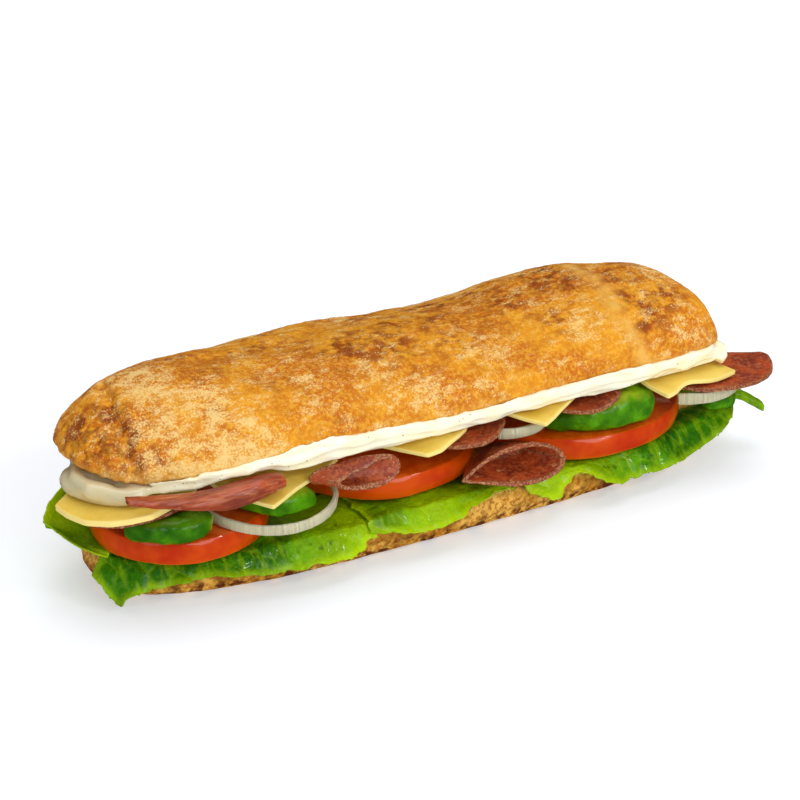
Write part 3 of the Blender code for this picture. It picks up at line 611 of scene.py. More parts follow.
def lower_crust_finish(look):
    """The lower half: pale crumb at the cut, a browned and mottled crust below."""
    made = Finish("crust_base", Roughness=0.85, Specular_IOR_Level=0.15)
    crumb, scorch, _ = made.painted("baking")[0:3]
    broad = made.mottling(60, 0.4, 0.62)
    patches = made.mottling(190, 0.42, 0.62, detail=5.0)
    base = made.mix(broad, solid(look.crumb_shadow), solid(look.pale_crust))
    grit = made.mottling(520, 0.44, 0.6, detail=4.0)
    base = made.over(base, look.toasted_and_shade, grit, 0.7)
    stain = made.maths("MULTIPLY", patches, made.maths("ADD", scorch, 0.15), clamp=True)
    base = made.over(base, look.scorched, stain)
    pores = made.use("Flecks", scale=330, size=0.45, share=0.6, seed=(4, 4, 4))["Mask"]
    inside = made.mix(made.mottling(260, 0.4, 0.6), solid(look.crumb), solid(look.crumb_shadow))
    base = made.mix(crumb, base, inside)
    # Painted shade: the pores of the crumb are darkened toward the toasted colour, standing in for shade
    # inside the holes.
    pore_shade = made.maths("MULTIPLY", pores, made.maths("MULTIPLY", crumb, 0.6))
    base = made.over(base, look.toasted_and_shade, pore_shade)
    made.colour(base)
    grain = made.grain(scale=500, detail=4.0)
    made.relief((0.0007, grain), (0.0005, patches))
    return made.material


def mayonnaise_finish(look):
    made = Finish(
        "mayonnaise",
        Roughness=0.3,
        Specular_IOR_Level=0.4,
        Subsurface_Weight=0.05,
        Subsurface_Scale=0.003,
        Coat_Weight=0.6,
        Coat_Roughness=0.08,
    )
    # The painted value is painted shade: the folded lip at the left end is greyed, standing in for shade on
    # the roll.
    lip_shade_mask = made.painted("smear")[0]
    tone = made.mottling(90, 0.35, 0.7)
    base = made.mix(tone, solid(look.mayonnaise), solid(look.mayonnaise_deep))
    base = made.over(base, look.mayonnaise_lip_shade, lip_shade_mask)
    pepper = made.use("Flecks", scale=520, size=0.16, share=0.02, seed=(1, 2, 3))["Mask"]
    base = made.over(base, look.pepper, pepper, 0.7)
    made.colour(base)
    made.relief((0.0004, made.grain(scale=230, detail=2.0, stretch=(0.35, 1, 1.6))))
    return made.material


def lettuce_finish(look):
    made = Finish(
        "lettuce",
        Specular_IOR_Level=0.1,
        Subsurface_Weight=0.05,
        Subsurface_Scale=0.002,
        Coat_Weight=0.22,
        Coat_Roughness=0.06,
    )
    tint, vein, deep = made.painted("leaf")[0:3]
    tone = made.mottling(80, 0.38, 0.62, detail=4.0)
    base = made.mix(tone, solid(look.leaf), solid(look.leaf_dark))
    base = made.over(base, look.leaf_dark, deep, 0.85)
    # The first painted value is partly the leaf's own paler tone and partly painted light: a glow near the
    # thin rim and painted highlights on the front leaves.
    base = made.over(base, look.leaf_light, tint)
    spot = made.add("TexCoord").outputs["Object"]
    bent = made.add("TexNoise", {"Vector": spot, "Scale": 160.0}).outputs["Color"]
    bent = made.add("VectorMath", {0: bent, "Scale": 0.006}, operation="SCALE").outputs[0]
    bent = made.add("VectorMath", {0: bent, 1: spot}, operation="ADD").outputs[0]
    cells = made.add("TexVoronoi", {"Vector": bent, "Scale": 330.0}, feature="DISTANCE_TO_EDGE")
    net = made.ramp(cells.outputs["Distance"], 0.07, 0.0)
    base = made.over(base, look.leaf_vein, net, 0.08)
    base = made.over(base, look.leaf_vein, vein, 0.22)
    streaks = made.mottling(330, 0.5, 0.66, detail=2.0, stretch=(1.0, 0.22, 0.22), seed=(2, 2, 8))
    base = made.over(base, look.leaf_light, streaks, 0.25)
    made.colour(base)
    made.roughness(made.ramp(made.mottling(160, 0.3, 0.7, seed=(3, 3, 3)), 0, 1, 0.3, 0.5))
    pillows = made.ramp(cells.outputs["Distance"], 0.0, 0.3)
    made.relief((0.00012, pillows), (0.0005, made.grain(scale=260, detail=3.0)))
    return made.material


def tomato_finish(look):
    made = Finish(
        "tomato",
        Roughness=0.3,
        Specular_IOR_Level=0.15,
        Subsurface_Weight=0.04,
        Subsurface_Scale=0.003,
        Coat_Weight=0.7,
        Coat_Roughness=0.04,
    )
    cut, low, rim = made.painted("slice")[0:3]
    tone = made.mottling(45, 0.35, 0.65)
    skin = made.mix(tone, solid(look.skin), solid(look.skin_orange))
    skin = made.mix(made.maths("MULTIPLY", low, 0.5), skin, solid(look.skin))
    skin = made.mix(made.maths("MULTIPLY", made.mottling(700, 0.5, 0.7), 0.15), skin, solid(look.skin_orange))
    flesh = made.mix(made.mottling(220, 0.4, 0.6), solid(look.flesh), solid(look.skin_orange))
    base = made.mix(cut, skin, flesh)
    made.colour(made.over(base, look.flesh, rim, 0.5))
    made.relief((0.00025, made.grain(scale=160, detail=2.0)))
    return made.material


def avocado_finish(look):
    made = Finish(
        "avocado",
        Roughness=0.4,
        Specular_IOR_Level=0.1,
        Subsurface_Weight=0.06,
        Subsurface_Scale=0.002,
        Coat_Weight=0.35,
        Coat_Roughness=0.06,
    )
    ripe, dark, _ = made.painted("wedge")[0:3]
    tone = made.mottling(150, 0.38, 0.62, detail=3.0)
    base = made.mix(made.maths("MULTIPLY", tone, 0.6), solid(look.rind), solid(look.rind_dark))
    base = made.over(base, look.rind_dark, dark)
    base = made.over(base, look.pulp, ripe)
    made.colour(base)
    made.relief((0.0005, made.grain(scale=240, detail=2.0)))
    return made.material


def onion_finish(look):
    made = Finish(
        "onion",
        Roughness=0.25,
        Subsurface_Weight=0.1,
        Subsurface_Scale=0.002,
        Coat_Weight=0.3,
        Coat_Roughness=0.1,
    )
    along, side, _ = made.painted("ring")[0:3]
    sockets = {"W": made.maths("MULTIPLY", along, 90.0), "Scale": 1.0, "Detail": 3.0}
    lines = made.add("TexNoise", sockets, noise_dimensions="1D").outputs[0]
    lines = made.ramp(lines, 0.42, 0.62)
    base = made.mix(made.maths("MULTIPLY", lines, 0.4), solid(look.onion), solid(look.onion_line))
    base = made.over(base, look.onion_pale, side, 0.7)
    made.colour(base)
    made.relief((0.0002, lines))
    return made.material


def salami_finish(look, name="salami", stretch=(1, 1, 1), speckled=1.0, gloss=0.15):
    made = Finish(name, Specular_IOR_Level=0.35, Coat_Weight=gloss, Coat_Roughness=0.16)
    rim, dark, _ = made.painted("cured")[0:3]
    tone = made.mottling(120, 0.38, 0.62, detail=5.0, stretch=stretch)
    fine = made.mottling(620, 0.46, 0.58, detail=4.0, stretch=stretch)
    base = made.mix(tone, solid(look.meat), solid(look.meat_dark))
    base = made.over(base, look.meat_light, fine, 0.5)
    base = made.over(base, look.meat_dark, dark, 0.6)
    shape = {"size": 0.34, "stretch": stretch}
    large = made.use("Flecks", scale=230, share=0.16, warp=0.007, seed=(2, 4, 6), **shape)["Mask"]
    small = made.use("Flecks", scale=520, share=0.25, warp=0.004, seed=(7, 1, 3), **shape)["Mask"]
    base = made.over(base, look.fat, large, 0.5 * speckled)
    base = made.over(base, look.fat, small, 0.3 * speckled)
    base = made.over(base, look.casing, rim)
    glint = made.maths("MULTIPLY", made.mottling(1300, 0.5, 0.56, detail=2.0), rim)
    base = made.over(base, look.fat, glint, 0.5)
    made.colour(base)
    made.roughness(made.ramp(tone, 0, 1, 0.34, 0.55))
    grain = made.grain(scale=460, detail=4.0, stretch=stretch)
    made.relief((0.0006, grain), (0.0002, large))
    return made.material


def cheese_finish(look):
    made = Finish(
        "cheese", Roughness=0.4, Specular_IOR_Level=0.3, Subsurface_Weight=0.12, Subsurface_Scale=0.003
    )
    # The painted value is painted light: each slice is lighter along its thin rim.
    edge = made.painted("slab")[0]
    base = made.mix(made.mottling(50, 0.35, 0.7), solid(look.cheese), solid(look.cheese_deep))
    base = made.over(base, look.cheese_rim_light, edge)
    made.colour(base)
    made.relief((0.0003, made.grain(scale=220, detail=3.0)))
    return made.material


def drop_finish():
    return Finish("water", Roughness=0.02, IOR=1.33, Transmission_Weight=1.0).material


def bit_finish(name, colour):
    """Pepper and crumbs."""
    made = Finish(name, Roughness=0.8, Specular_IOR_Level=0.2)
    made.colour(solid(colour))
    return made.material


# Settings


def tint(name, description, red, green, blue):
    return FloatVectorProperty(
        name=name, description=description, default=shade(red, green, blue), subtype="COLOR", min=0.0, max=1.0
    )


def length(name, description, default):
    return FloatProperty(
        name=name, description=description, default=default, unit="LENGTH", precision=5, min=0.0
    )


class SandwichBread(bpy.types.PropertyGroup):
    detail: length("Detail", "Size of the smallest crust features in the mesh", 1.0 * MM)
    bumps: length("Bumps", "Height of the small bumps of the crust", 0.22 * MM)
    valley: length("Valley", "Depth of the soft valley behind the left end", 1.2 * MM)
    crease: length("Crease", "Depth of the crease at the left end", 1.7 * MM)
    golden: tint("Golden", "Main crust colour", 230, 148, 10)
    amber: tint("Amber", "Darker crust colour", 206, 112, 0)
    honey: tint("Honey", "Light mottling", 246, 184, 50)
    # This colour also serves as painted shade: in the end crease, over the left end of the upper crust and in
    # the pores of the crumb.
    toasted_and_shade: tint("Toasted", "Browned blotches", 160, 74, 0)
    scorched: tint("Scorched", "Darkest browning", 98, 42, 4)
    pale_crust: tint("Pale crust", "Crust that is barely browned", 240, 186, 84)
    flour: tint("Flour", "Dusting of flour", 246, 212, 138)
    crumb: tint("Crumb", "Inside of the bread", 228, 192, 100)
    crumb_shadow: tint("Crumb shadow", "Deeper parts of the crumb", 202, 146, 44)


class SandwichSauce(bpy.types.PropertyGroup):
    detail: length("Detail", "Size of the smallest ridges in the mesh", 0.8 * MM)
    folds: length("Folds", "Height of the smeared folds", 0.9 * MM)
    mayonnaise: tint("Mayonnaise", "Main colour", 255, 251, 224)
    mayonnaise_deep: tint("Deep mayonnaise", "Thicker parts", 255, 245, 204)
    # A painted shade colour, laid over the folded lip at the left end.
    mayonnaise_lip_shade: tint("Grey mayonnaise", "The peppery folded lip", 200, 184, 138)
    pepper: tint("Pepper", "Pepper flecks", 122, 112, 86)


class SandwichLeaves(bpy.types.PropertyGroup):
    thickness: length("Thickness", "Thickness of a leaf", 0.6 * MM)
    blisters: length("Blisters", "Height of the swellings between the veins", 0.55 * MM)
    leaf: tint("Leaf", "Main colour", 86, 156, 0)
    leaf_dark: tint("Dark leaf", "Deep green", 30, 98, 0)
    # Also the colour of painted light: the glow at the leaf rims and painted highlights.
    leaf_light: tint("Light leaf", "Yellow-green edges", 170, 208, 0)
    leaf_vein: tint("Veins", "Veins of the leaf", 164, 206, 24)


class SandwichVegetables(bpy.types.PropertyGroup):
    skin: tint("Tomato skin", "Skin of the tomato", 188, 42, 0)
    skin_orange: tint("Orange skin", "Paler skin", 214, 78, 0)
    flesh: tint("Tomato flesh", "Cut face of the tomato", 226, 96, 20)
    rind: tint("Avocado green", "Outer flesh of the avocado", 88, 156, 0)
    rind_dark: tint("Dark avocado", "Darker outer flesh", 24, 84, 0)
    pulp: tint("Avocado pulp", "Inner flesh of the avocado", 186, 202, 34)
    onion: tint("Onion", "Onion ring", 222, 216, 180)
    onion_line: tint("Onion lines", "Lines across the ring", 176, 166, 126)
    onion_pale: tint("Pale onion", "Cut face of the ring", 232, 228, 204)


class SandwichMeat(bpy.types.PropertyGroup):
    thickness: length("Thickness", "Thickness of a slice", 1.5 * MM)
    meat: tint("Meat", "Main colour", 182, 74, 32)
    meat_light: tint("Light meat", "Paler grains", 206, 110, 58)
    meat_dark: tint("Dark meat", "Darker grains", 128, 44, 20)
    fat: tint("Fat", "Fat specks", 228, 166, 108)
    casing: tint("Rim", "Rim of the slice", 124, 62, 36)


class SandwichCheese(bpy.types.PropertyGroup):
    thickness: length("Thickness", "Thickness of a slice", 1.6 * MM)
    cheese: tint("Cheese", "Main colour", 240, 208, 98)
    cheese_deep: tint("Deep cheese", "Darker parts", 228, 190, 70)
    # A painted light colour for the rim of each slice.
    cheese_rim_light: tint("Cheese edge", "Cut edge", 248, 226, 140)


def strength(name, description, default):
    return FloatProperty(name=name, description=description, default=default, min=0.0)


class SandwichStage(bpy.types.PropertyGroup):
    sky: strength("Sky", "Strength of the even light", 0.50)
    key: strength("Key", "Strength of the light from above", 0.95)
    fill: strength("Fill", "Strength of the light from the front", 1.0)
    side: strength("Side", "Strength of the light from the left", 0.2)
    spark: strength("Spark", "Power of the small light for highlights", 1.4)
    glow: strength("Glow", "Light that the floor gives off", 0.38)
    seed: IntProperty(name="Seed", description="Seed of the scattered bits", default=7)


SETTINGS = {
    "sandwich_bread": SandwichBread,
    "sandwich_sauce": SandwichSauce,
    "sandwich_leaves": SandwichLeaves,
    "sandwich_vegetables": SandwichVegetables,
    "sandwich_meat": SandwichMeat,
    "sandwich_cheese": SandwichCheese,
    "sandwich_stage": SandwichStage,
}


# Operators


class SANDWICH_OT_upper_bread(bpy.types.Operator):
    """Make the domed upper half of the loaf, with its creases and dents"""

    bl_idname = "sandwich.upper_bread"
    bl_label = "Upper Bread"

    def execute(self, context):
        look = context.scene.sandwich_bread
        bm = eased(reshaped(copied("bread_top"), remeshed(look.detail)), 14)

        def relief(v):
            spot = v.co
            left = smooth_step(-spot.x, 0.095, 0.140)
            skin = look.bumps * (wavy(spot, 0.0042, 3) + 0.7 * wavy(spot, 0.0022, 5))
            swell = 0.5 * MM * wavy(spot, 0.016, 1)
            tall = Vector((spot.x, spot.y, spot.z * 0.45))
            wrinkles = abs(wavy(tall, 0.0034, 8)) + 0.6 * abs(wavy(spot, 0.0025, 4))
            low = smooth_step(0.072 - spot.z, 0.0, 0.014)
            crease = near_path(spot, END_CREASE)
            cut = -look.crease * bell(crease, 2.0) + 0.4 * look.crease * bell(crease - 5, 2.5)
            valley = look.valley * bell(near_path(spot, VALLEY), 6.0)
            ridge = 0.6 * MM * bell(near_path(spot, PALE_RIDGE), 3.5)
            return skin + swell - 1.1 * MM * left * low * wrinkles + cut - valley + ridge

        moved_out(bm, relief)

        def baking(v):
            spot = v.co
            mirrored = Vector((-spot.x * 0.93, -spot.y, spot.z))
            back = smooth_step(spot.y, -0.004, 0.016)
            flour = spots_at(spot, FLOUR_SPOTS) * (1 - back) + spots_at(mirrored, FLOUR_SPOTS) * back
            browning_and_shade = spots_at(spot, TOAST_SPOTS)
            browning_and_shade = max(browning_and_shade, back * spots_at(mirrored, TOAST_SPOTS))
            # Painted shade: darker along the end crease and over the whole left end, where shade falls.
            browning_and_shade += 0.5 * bell(near_path(spot, END_CREASE), 3.0)
            browning_and_shade += 0.4 * smooth_step(-spot.x, 0.112, 0.134)
            pale = bell(near_path(spot, PALE_RIDGE), 3.6) * (0.75 + 1.1 * wavy(spot, 0.006, 6))
            pale = min(1.0, max(0.0, pale, 0.6 * smooth_step(0.060 - spot.z, 0.0, 0.008)))
            return flour, min(1.0, browning_and_shade), pale

        paint(bm, "baking", baking)
        finish(bm, "upper_bread", ["bread_top"], crust_finish(look))
        return {"FINISHED"}


class SANDWICH_OT_lower_bread(bpy.types.Operator):
    """Make the lower half of the loaf, with crumb at its cut"""

    bl_idname = "sandwich.lower_bread"
    bl_label = "Lower Bread"

    def execute(self, context):
        look = context.scene.sandwich_bread
        bm = eased(reshaped(copied("bread_bottom"), remeshed(look.detail * 1.1)), 5)

        def relief(v):
            spot = v.co
            lumps = 0.5 * MM * wavy(spot, 0.009, 2) + 0.3 * MM * wavy(spot, 0.004, 6)
            holes = smooth_step(spot.z, 0.014, 0.0165) * 0.6 * MM * abs(wavy(spot, 0.005, 9))
            return (lumps - holes) * smooth_step(spot.z, 0.0, 0.004)

        moved_out(bm, relief)
        for v in bm.verts:
            v.co.z = max(v.co.z, 0.0)

        def baking(v):
            crumb = smooth_step(v.co.z + 0.0012 * wavy(v.co, 0.007, 4), 0.0125, 0.0155)
            return crumb, smooth_step(0.011 - v.co.z, 0.0, 0.008), 0.0

        paint(bm, "baking", baking)
        seed = context.scene.sandwich_stage.seed
        places = picked_places(bm, 170, seed, lambda v: 0.0115 < v.co.z < 0.0165 and abs(v.normal.z) < 0.95)
        finish(bm, "lower_bread", ["bread_bottom"], lower_crust_finish(look))
        crumbs = bits_on(places, (0.3 * MM, 0.8 * MM), 0.8, seed)
        finish(crumbs, "crumbs", [], bit_finish("crumbs", look.crumb))
        return {"FINISHED"}


class SANDWICH_OT_mayonnaise(bpy.types.Operator):
    """Make the thick spread of mayonnaise and its folded lip"""

    bl_idname = "sandwich.mayonnaise"
    bl_label = "Mayonnaise"

    def execute(self, context):
        look = context.scene.sandwich_sauce
        seed = context.scene.sandwich_stage.seed
        bm = copied("mayonnaise")
        tube(bm, MAYONNAISE_ROLL)
        tube(bm, MAYONNAISE_FLAP)
        self.add_smears(bm, seed)
        bm = eased(reshaped(bm, remeshed(look.detail)), 9)

        def relief(v):
            spot = v.co
            side = smooth_step(1 - abs(v.normal.z), 0.05, 0.5)
            lip = smooth_step(-spot.x, 0.120, 0.132)
            bend = 0.0025 * wavy((spot.x, spot.y, 0), 0.02, 2)
            smear = abs(wavy((spot.x * 0.22, spot.y * 0.3, spot.z + bend), 0.0036, 3))
            blob = wavy(spot, 0.011, 7)
            hollow = bell(near_path(spot, MAYONNAISE_HOLLOW), 2.2)
            flow = side * look.folds * (0.7 - 2.6 * smear + 1.1 * blob)
            return flow * (1 - 0.85 * lip) - 3.0 * MM * hollow

        moved_out(bm, relief)

        # Painted shade: greys the folded lip at the left end.
        def smear(v):
            return smooth_step(-v.co.x, 0.118, 0.136) * 0.8, 0.0, 0.0

        paint(bm, "smear", smear)
        places = picked_places(bm, 64, seed, lambda v: abs(v.normal.z) < 0.8 and abs(v.co.y) > 0.02)
        finish(bm, "mayonnaise_spread", ["mayonnaise"], mayonnaise_finish(look))
        flecks = bits_on(places, (0.14 * MM, 0.34 * MM), 0.5, seed)
        finish(flecks, "pepper", [], bit_finish("pepper", look.pepper))
        return {"FINISHED"}

    def add_smears(self, bm, seed):
        """Adds a bead and flat dabs along the crust's lower edge, where the spread was pressed out."""
        crown = copied("bread_top")
        tree = BVHTree.FromBMesh(crown)
        pick = random.Random(seed)
        for side in (-1, 1):
            x = -139.0
            while x < 118:
                x += pick.uniform(2.5, 7.0)
                rim = [v.co.z for v in crown.verts if abs(v.co.x / MM - x) < 8 and v.co.y * side > 0.005]
                bold = 1.0 if -113 < x < -98 or -74 < x < -52 or 50 < x < 84 else 0.25
                wide = pick.uniform(3.5, 8.0)
                full = 0.35 + 0.65 * smooth_step(x, -130, -90)
                tall = pick.uniform(0.6, 1.3) + bold * pick.uniform(0.5, 2.2)
                for up, height, thick in (
                    (-1.4 * full, 2.6 * full, 1.5 * full),
                    ((0.1 + 0.7 * bold) * full, tall, 0.9 * full),
                ):
                    aim = Vector((x * MM, 0.06 * side, min(rim) + max(0.0, up) * MM))
                    spot, normal = tree.find_nearest(aim)[0:2]
                    spot = spot + Vector((0, 0, min(0.0, up) * MM))
                    normal = Vector((normal.x, normal.y, 0.0)).normalized() if up < 0 else normal
                    dab = bmesh.ops.create_icosphere(bm, subdivisions=3, radius=MM)["verts"]
                    place = Matrix.Translation(spot) @ facing(normal)
                    size = Matrix.Diagonal((wide, height, thick, 1.0))
                    bmesh.ops.transform(bm, matrix=place @ size, verts=dab)
        crown.free()


def pulled(bm, target, reach):
    """Draws the nearest part of a sheet out to a pointed tip."""
    nearest = min(bm.verts, key=lambda v: (v.co - target).length)
    start = nearest.co.copy()
    for v in bm.verts:
        v.co += (target - start) * math.exp(-2.5 * (v.co - start).length / reach)


def ragged_leaf(bm, rims, tooth, seed):
    """Bites uneven notches out of a leaf's edge."""
    bitten = []
    for face in bm.faces:
        spot = face.calc_center_median()
        near = min(rims[v.index] for v in face.verts)
        teeth = 0.55 * wavy(spot, 0.006, seed) + 0.5 * abs(wavy(spot, 0.0028, seed + 4)) + 0.1
        bite = tooth * max(0.0, teeth)
        bite *= 1 - 0.8 * smooth_step(spot.x, 0.07, 0.09)
        if near < bite:
            bitten.append(face)
    bmesh.ops.delete(bm, geom=bitten, context="FACES")
    bmesh.ops.delete(bm, geom=[v for v in bm.verts if not v.link_faces], context="VERTS")
    edge = [v for v in bm.verts if v.is_boundary]
    for _ in range(2):
        bmesh.ops.smooth_vert(bm, verts=edge, factor=0.5, use_axis_x=True, use_axis_y=True, use_axis_z=True)


class SANDWICH_OT_lettuce(bpy.types.Operator):
    """Make the lettuce leaves, blistered between their veins and ragged at the edge"""

    bl_idname = "sandwich.lettuce"
    bl_label = "Lettuce"

    def execute(self, context):
        look = context.scene.sandwich_leaves
        material = lettuce_finish(look)
        wet = []
        # The last column is each leaf's share of the paler tone, which partly stands in for light.
        for name, tooth, seed, light in (
            ("left_end", 0.3, 1.0, 1.0),
            ("front_left", 2.2, 2.0, 0.0),
            ("front_middle", 2.0, 3.0, 0.75),
            ("front_right", 3.6, 4.0, 0.0),
            ("back_right", 5.0, 5.0, 0.3),
            ("back_left", 5.0, 6.0, 0.3),
        ):
            smooth = name == "left_end"
            bm = eased(reshaped(upper_sheet("leaf_" + name, LEAF_SOLID), divided(3)), 10, 1 if smooth else 3)
            if name in LEAF_TIPS:
                pulled(bm, Vector(LEAF_TIPS[name]) * MM, 9 * MM)
            rims = rim_distances(bm)
            ragged_leaf(bm, rims, tooth * MM, seed)
            rims = rim_distances(bm)
            veins = [0.0] * len(bm.verts)

            def relief(v):
                spot = v.co
                exposed = smooth_step(max(abs(spot.y) - 0.030, abs(spot.x) - 0.120), 0.0, 0.008)
                bend = 0.7 * wavy(spot, 0.016, seed)
                grown = Vector((spot.x / 0.0065 + bend, spot.y / 0.011, spot.z / 0.016 - bend))
                grown += Vector((seed * 9, 0, 0))
                near, next_near = noise.voronoi(grown)[0][:2]
                pillow = 1 - math.exp(-(next_near - near) * 4)
                veins[v.index] = 1 - smooth_step(next_near - near, 0.0, 0.09)
                frill = smooth_step(0.006 - rims[v.index], 0.0, 0.006) * wavy(spot, 0.0055, seed + 2)
                small = 0.25 * MM * wavy(spot, 0.0028, seed + 1)
                waves = 0.9 * MM * wavy(spot, 0.011, seed)
                calm = 0.35 if smooth else 1.0
                return exposed * calm * (look.blisters * (pillow - 0.6) + 0.6 * MM * frill + small + waves)

            moved_out(bm, relief)
            for v in bm.verts:
                v.co.z = max(v.co.z, 1.4 * MM)

            if name in ("front_left", "front_right"):
                wet += picked_places(
                    bm, 18, 3, lambda v: v.normal.z > 0.3 and abs(v.co.y) > 0.036 and rims[v.index] > 0.004
                )

            # The paler tone is partly the leaf's own colour and partly painted light: a glow near the rim and
            # painted highlights on the front leaves.
            def growth(v):
                edge = smooth_step(0.0035 - rims[v.index], 0.0, 0.003)
                paler_and_lit = light * (0.5 + wavy(v.co, 0.03, seed)) + 0.45 * edge
                if name == "front_right":
                    paler_and_lit += 0.7 * smooth_step(0.085 - v.co.x, 0.0, 0.05)
                if name == "front_left":
                    paler_and_lit += 0.75 * smooth_step(v.co.x + 0.09, 0.0, 0.05)
                deep = smooth_step(-wavy(v.co, 0.022, seed + 5), 0.0, 0.6)
                if name in ("front_left", "front_right"):
                    deep = min(1.0, deep + 0.8 * smooth_step(abs(v.co.x), 0.085, 0.105))
                return min(1.0, max(0.0, paler_and_lit)), veins[v.index], deep

            paint(bm, "leaf", growth)
            bm = reshaped(bm, thickened(look.thickness))
            finish(bm, "lettuce_" + name, ["leaf_" + name], material)
        bm = eased(reshaped(copied("leaf_rib"), divided(3)), 2)
        moved_out(bm, lambda v: 0.35 * MM * (1 + wavy(drawn_out(v.co, 0.4), 0.0025, 2)))
        paint(bm, "leaf", lambda v: (0.25, 0.3 * abs(wavy(v.co, 0.003, 1)), 0.3))
        finish(bm, "lettuce_rib", ["leaf_rib"], material)
        drops = bits_on(wet, (0.3 * MM, 0.8 * MM), 0.55, 5, sides=2)
        finish(drops, "droplets", [], drop_finish())
        return {"FINISHED"}


class SANDWICH_OT_tomato(bpy.types.Operator):
    """Make the tomato slices"""

    bl_idname = "sandwich.tomato"
    bl_label = "Tomato"

    def execute(self, context):
        look = context.scene.sandwich_vegetables
        material = tomato_finish(look)
        for i, name in enumerate(("left", "middle", "right", "back_left", "back_middle", "back_right")):
            bm = copied("tomato_" + name)
            low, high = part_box("tomato_" + name)
            crease = bm.edges.layers.float.new("crease_edge")
            for edge in bm.edges:
                if edge.calc_face_angle(0.0) > math.radians(40):
                    edge[crease] = 0.7
            bm = reshaped(bm, rounded(3))
            moved_out(bm, lambda v: 0.25 * MM * wavy(v.co, 0.016, i))

            middle = (low.z + high.z) / 2

            def slice_marks(v):
                under = smooth_step(middle - v.co.z, 0.002, 0.004) * smooth_step(abs(v.normal.z), 0.25, 0.5)
                dark = smooth_step(-wavy(v.co, 0.03, i + 3), 0.0, 0.5)
                return smooth_step(abs(v.normal.z), 0.75, 0.95), dark, under

            paint(bm, "slice", slice_marks)
            finish(bm, "tomato_slice_" + name, ["tomato_" + name], material)
        return {"FINISHED"}


class SANDWICH_OT_avocado(bpy.types.Operator):
    """Make the avocado wedges"""

    bl_idname = "sandwich.avocado"
    bl_label = "Avocado"

    def execute(self, context):
        look = context.scene.sandwich_vegetables
        material = avocado_finish(look)
        for i, name in enumerate(("left", "middle", "right", "right_end", "back_left", "back_right")):
            bm = eased(reshaped(copied("avocado_" + name), divided(3)), 16)
            low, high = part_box("avocado_" + name)
            height = high.z - low.z
            left = name == "left"
            moved_out(bm, lambda v: MM * (0.55 + 1.1 * wavy(v.co, 0.008, i) + 0.45 * wavy(v.co, 0.0032, i)))

            def ripeness(v):
                up = smooth_step(v.normal.z + 0.4 * wavy(v.co, 0.005, 5), 0.3, 1.1)
                up *= smooth_step(v.co.z - low.z, height * 0.4, height)
                end = smooth_step(v.normal.x, 0.5, 0.9) if left else 0.0
                dark = (0.6 if left else 0.1) + 0.8 * wavy(v.co, 0.006, 3)
                up *= 0.5 + 0.9 * wavy(v.co, 0.012, 6)
                ripe = max(0.0, up * (0.2 if left else 1.0), 0.85 * end)
                return min(1.0, ripe), max(0.0, min(1.0, dark)), 0.0

            paint(bm, "wedge", ripeness)
            finish(bm, "avocado_wedge_" + name, ["avocado_" + name], material)
        return {"FINISHED"}


class SANDWICH_OT_onion(bpy.types.Operator):
    """Make the onion rings"""

    bl_idname = "sandwich.onion"
    bl_label = "Onion"

    def execute(self, context):
        look = context.scene.sandwich_vegetables
        material = onion_finish(look)
        for name, centre in (
            ("front_left", (-78, -28.5)),
            ("middle", (24, -27)),
            ("right", (112, -26)),
            ("back", (-2, 26)),
        ):
            bm = eased(reshaped(copied("onion_" + name), divided(3)), 5)
            moved_out(bm, lambda v: 0.15 * MM * wavy(v.co, 0.006, 2))

            def ring(v):
                dx, dy = v.co.x - centre[0] * MM, v.co.y - centre[1] * MM
                return math.atan2(dy, dx) + math.pi, smooth_step(abs(v.normal.z), 0.5, 0.9), 0.0

            paint(bm, "ring", ring)
            finish(bm, "onion_ring_" + name, ["onion_" + name], material)
        return {"FINISHED"}


class SANDWICH_OT_salami(bpy.types.Operator):
    """Make the salami: flat slices, rolled pockets and a folded slice"""

    bl_idname = "sandwich.salami"
    bl_label = "Salami"

    def execute(self, context):
        look = context.scene.sandwich_meat
        material = salami_finish(look)
        flat = "left", "middle", "right", "right_end", "back_left", "back_middle", "back_right"
        for i, name in enumerate(flat):
            bm = eased(reshaped(upper_sheet("salami_" + name, SALAMI_SOLID), divided(3)), 8, 8)
            rims = rim_distances(bm)
            moved_out(bm, lambda v: 0.3 * MM * wavy(v.co, 0.008, i) + 0.15 * MM * wavy(v.co, 0.003, i))

            def cured_slice(v):
                rim = smooth_step(0.0012 - rims[v.index], 0.0, 0.0008)
                return 0.8 * rim, 0.3 + 0.5 * wavy(v.co, 0.012, i), 0.0

            paint(bm, "cured", cured_slice)
            bm = reshaped(bm, thickened(look.thickness), softened(0.4 * MM))
            finish(bm, "salami_slice_" + name, ["salami_" + name], material)
        for name in ("pocket_large", "pocket_small"):
            bm = copied("salami_" + name)
            sharp = sharp_points(bm)
            bm = eased(reshaped(bm, divided(3)), 4)

            def relief(v):
                return 0.15 * MM * wavy(v.co, 0.004, 3) + 0.35 * MM * bell(sharp.find(v.co)[2], MM)

            moved_out(bm, relief)

            # Painted light: the large roll gets less of the dark meat colour, so that it looks lit where it
            # sits in shade.
            def cured(v):
                rim = smooth_step(1.1 * MM - sharp.find(v.co)[2], 0.0, 0.7 * MM)
                return 0.85 * rim, (-0.3 if name == "pocket_large" else 0.4) + 0.4 * wavy(v.co, 0.01, 2), 0.0

            paint(bm, "cured", cured)
            finish(bm, "salami_" + name.replace("pocket", "roll"), ["salami_" + name], material)
        streaky = salami_finish(look, "salami_folded", (0.22, 1.5, 1.5), 0.8, 0.5)
        bm = eased(reshaped(copied("salami_folded"), divided(3)), 5)
        moved_out(bm, lambda v: 0.35 * MM * wavy(drawn_out(v.co, 0.2), 0.0016, 3))
        paint(bm, "cured", lambda v: (0.0, 0.5 + 0.9 * wavy(drawn_out(v.co, 0.3), 0.004, 4), 0.0))
        finish(bm, "salami_fold", ["salami_folded"], streaky)
        return {"FINISHED"}


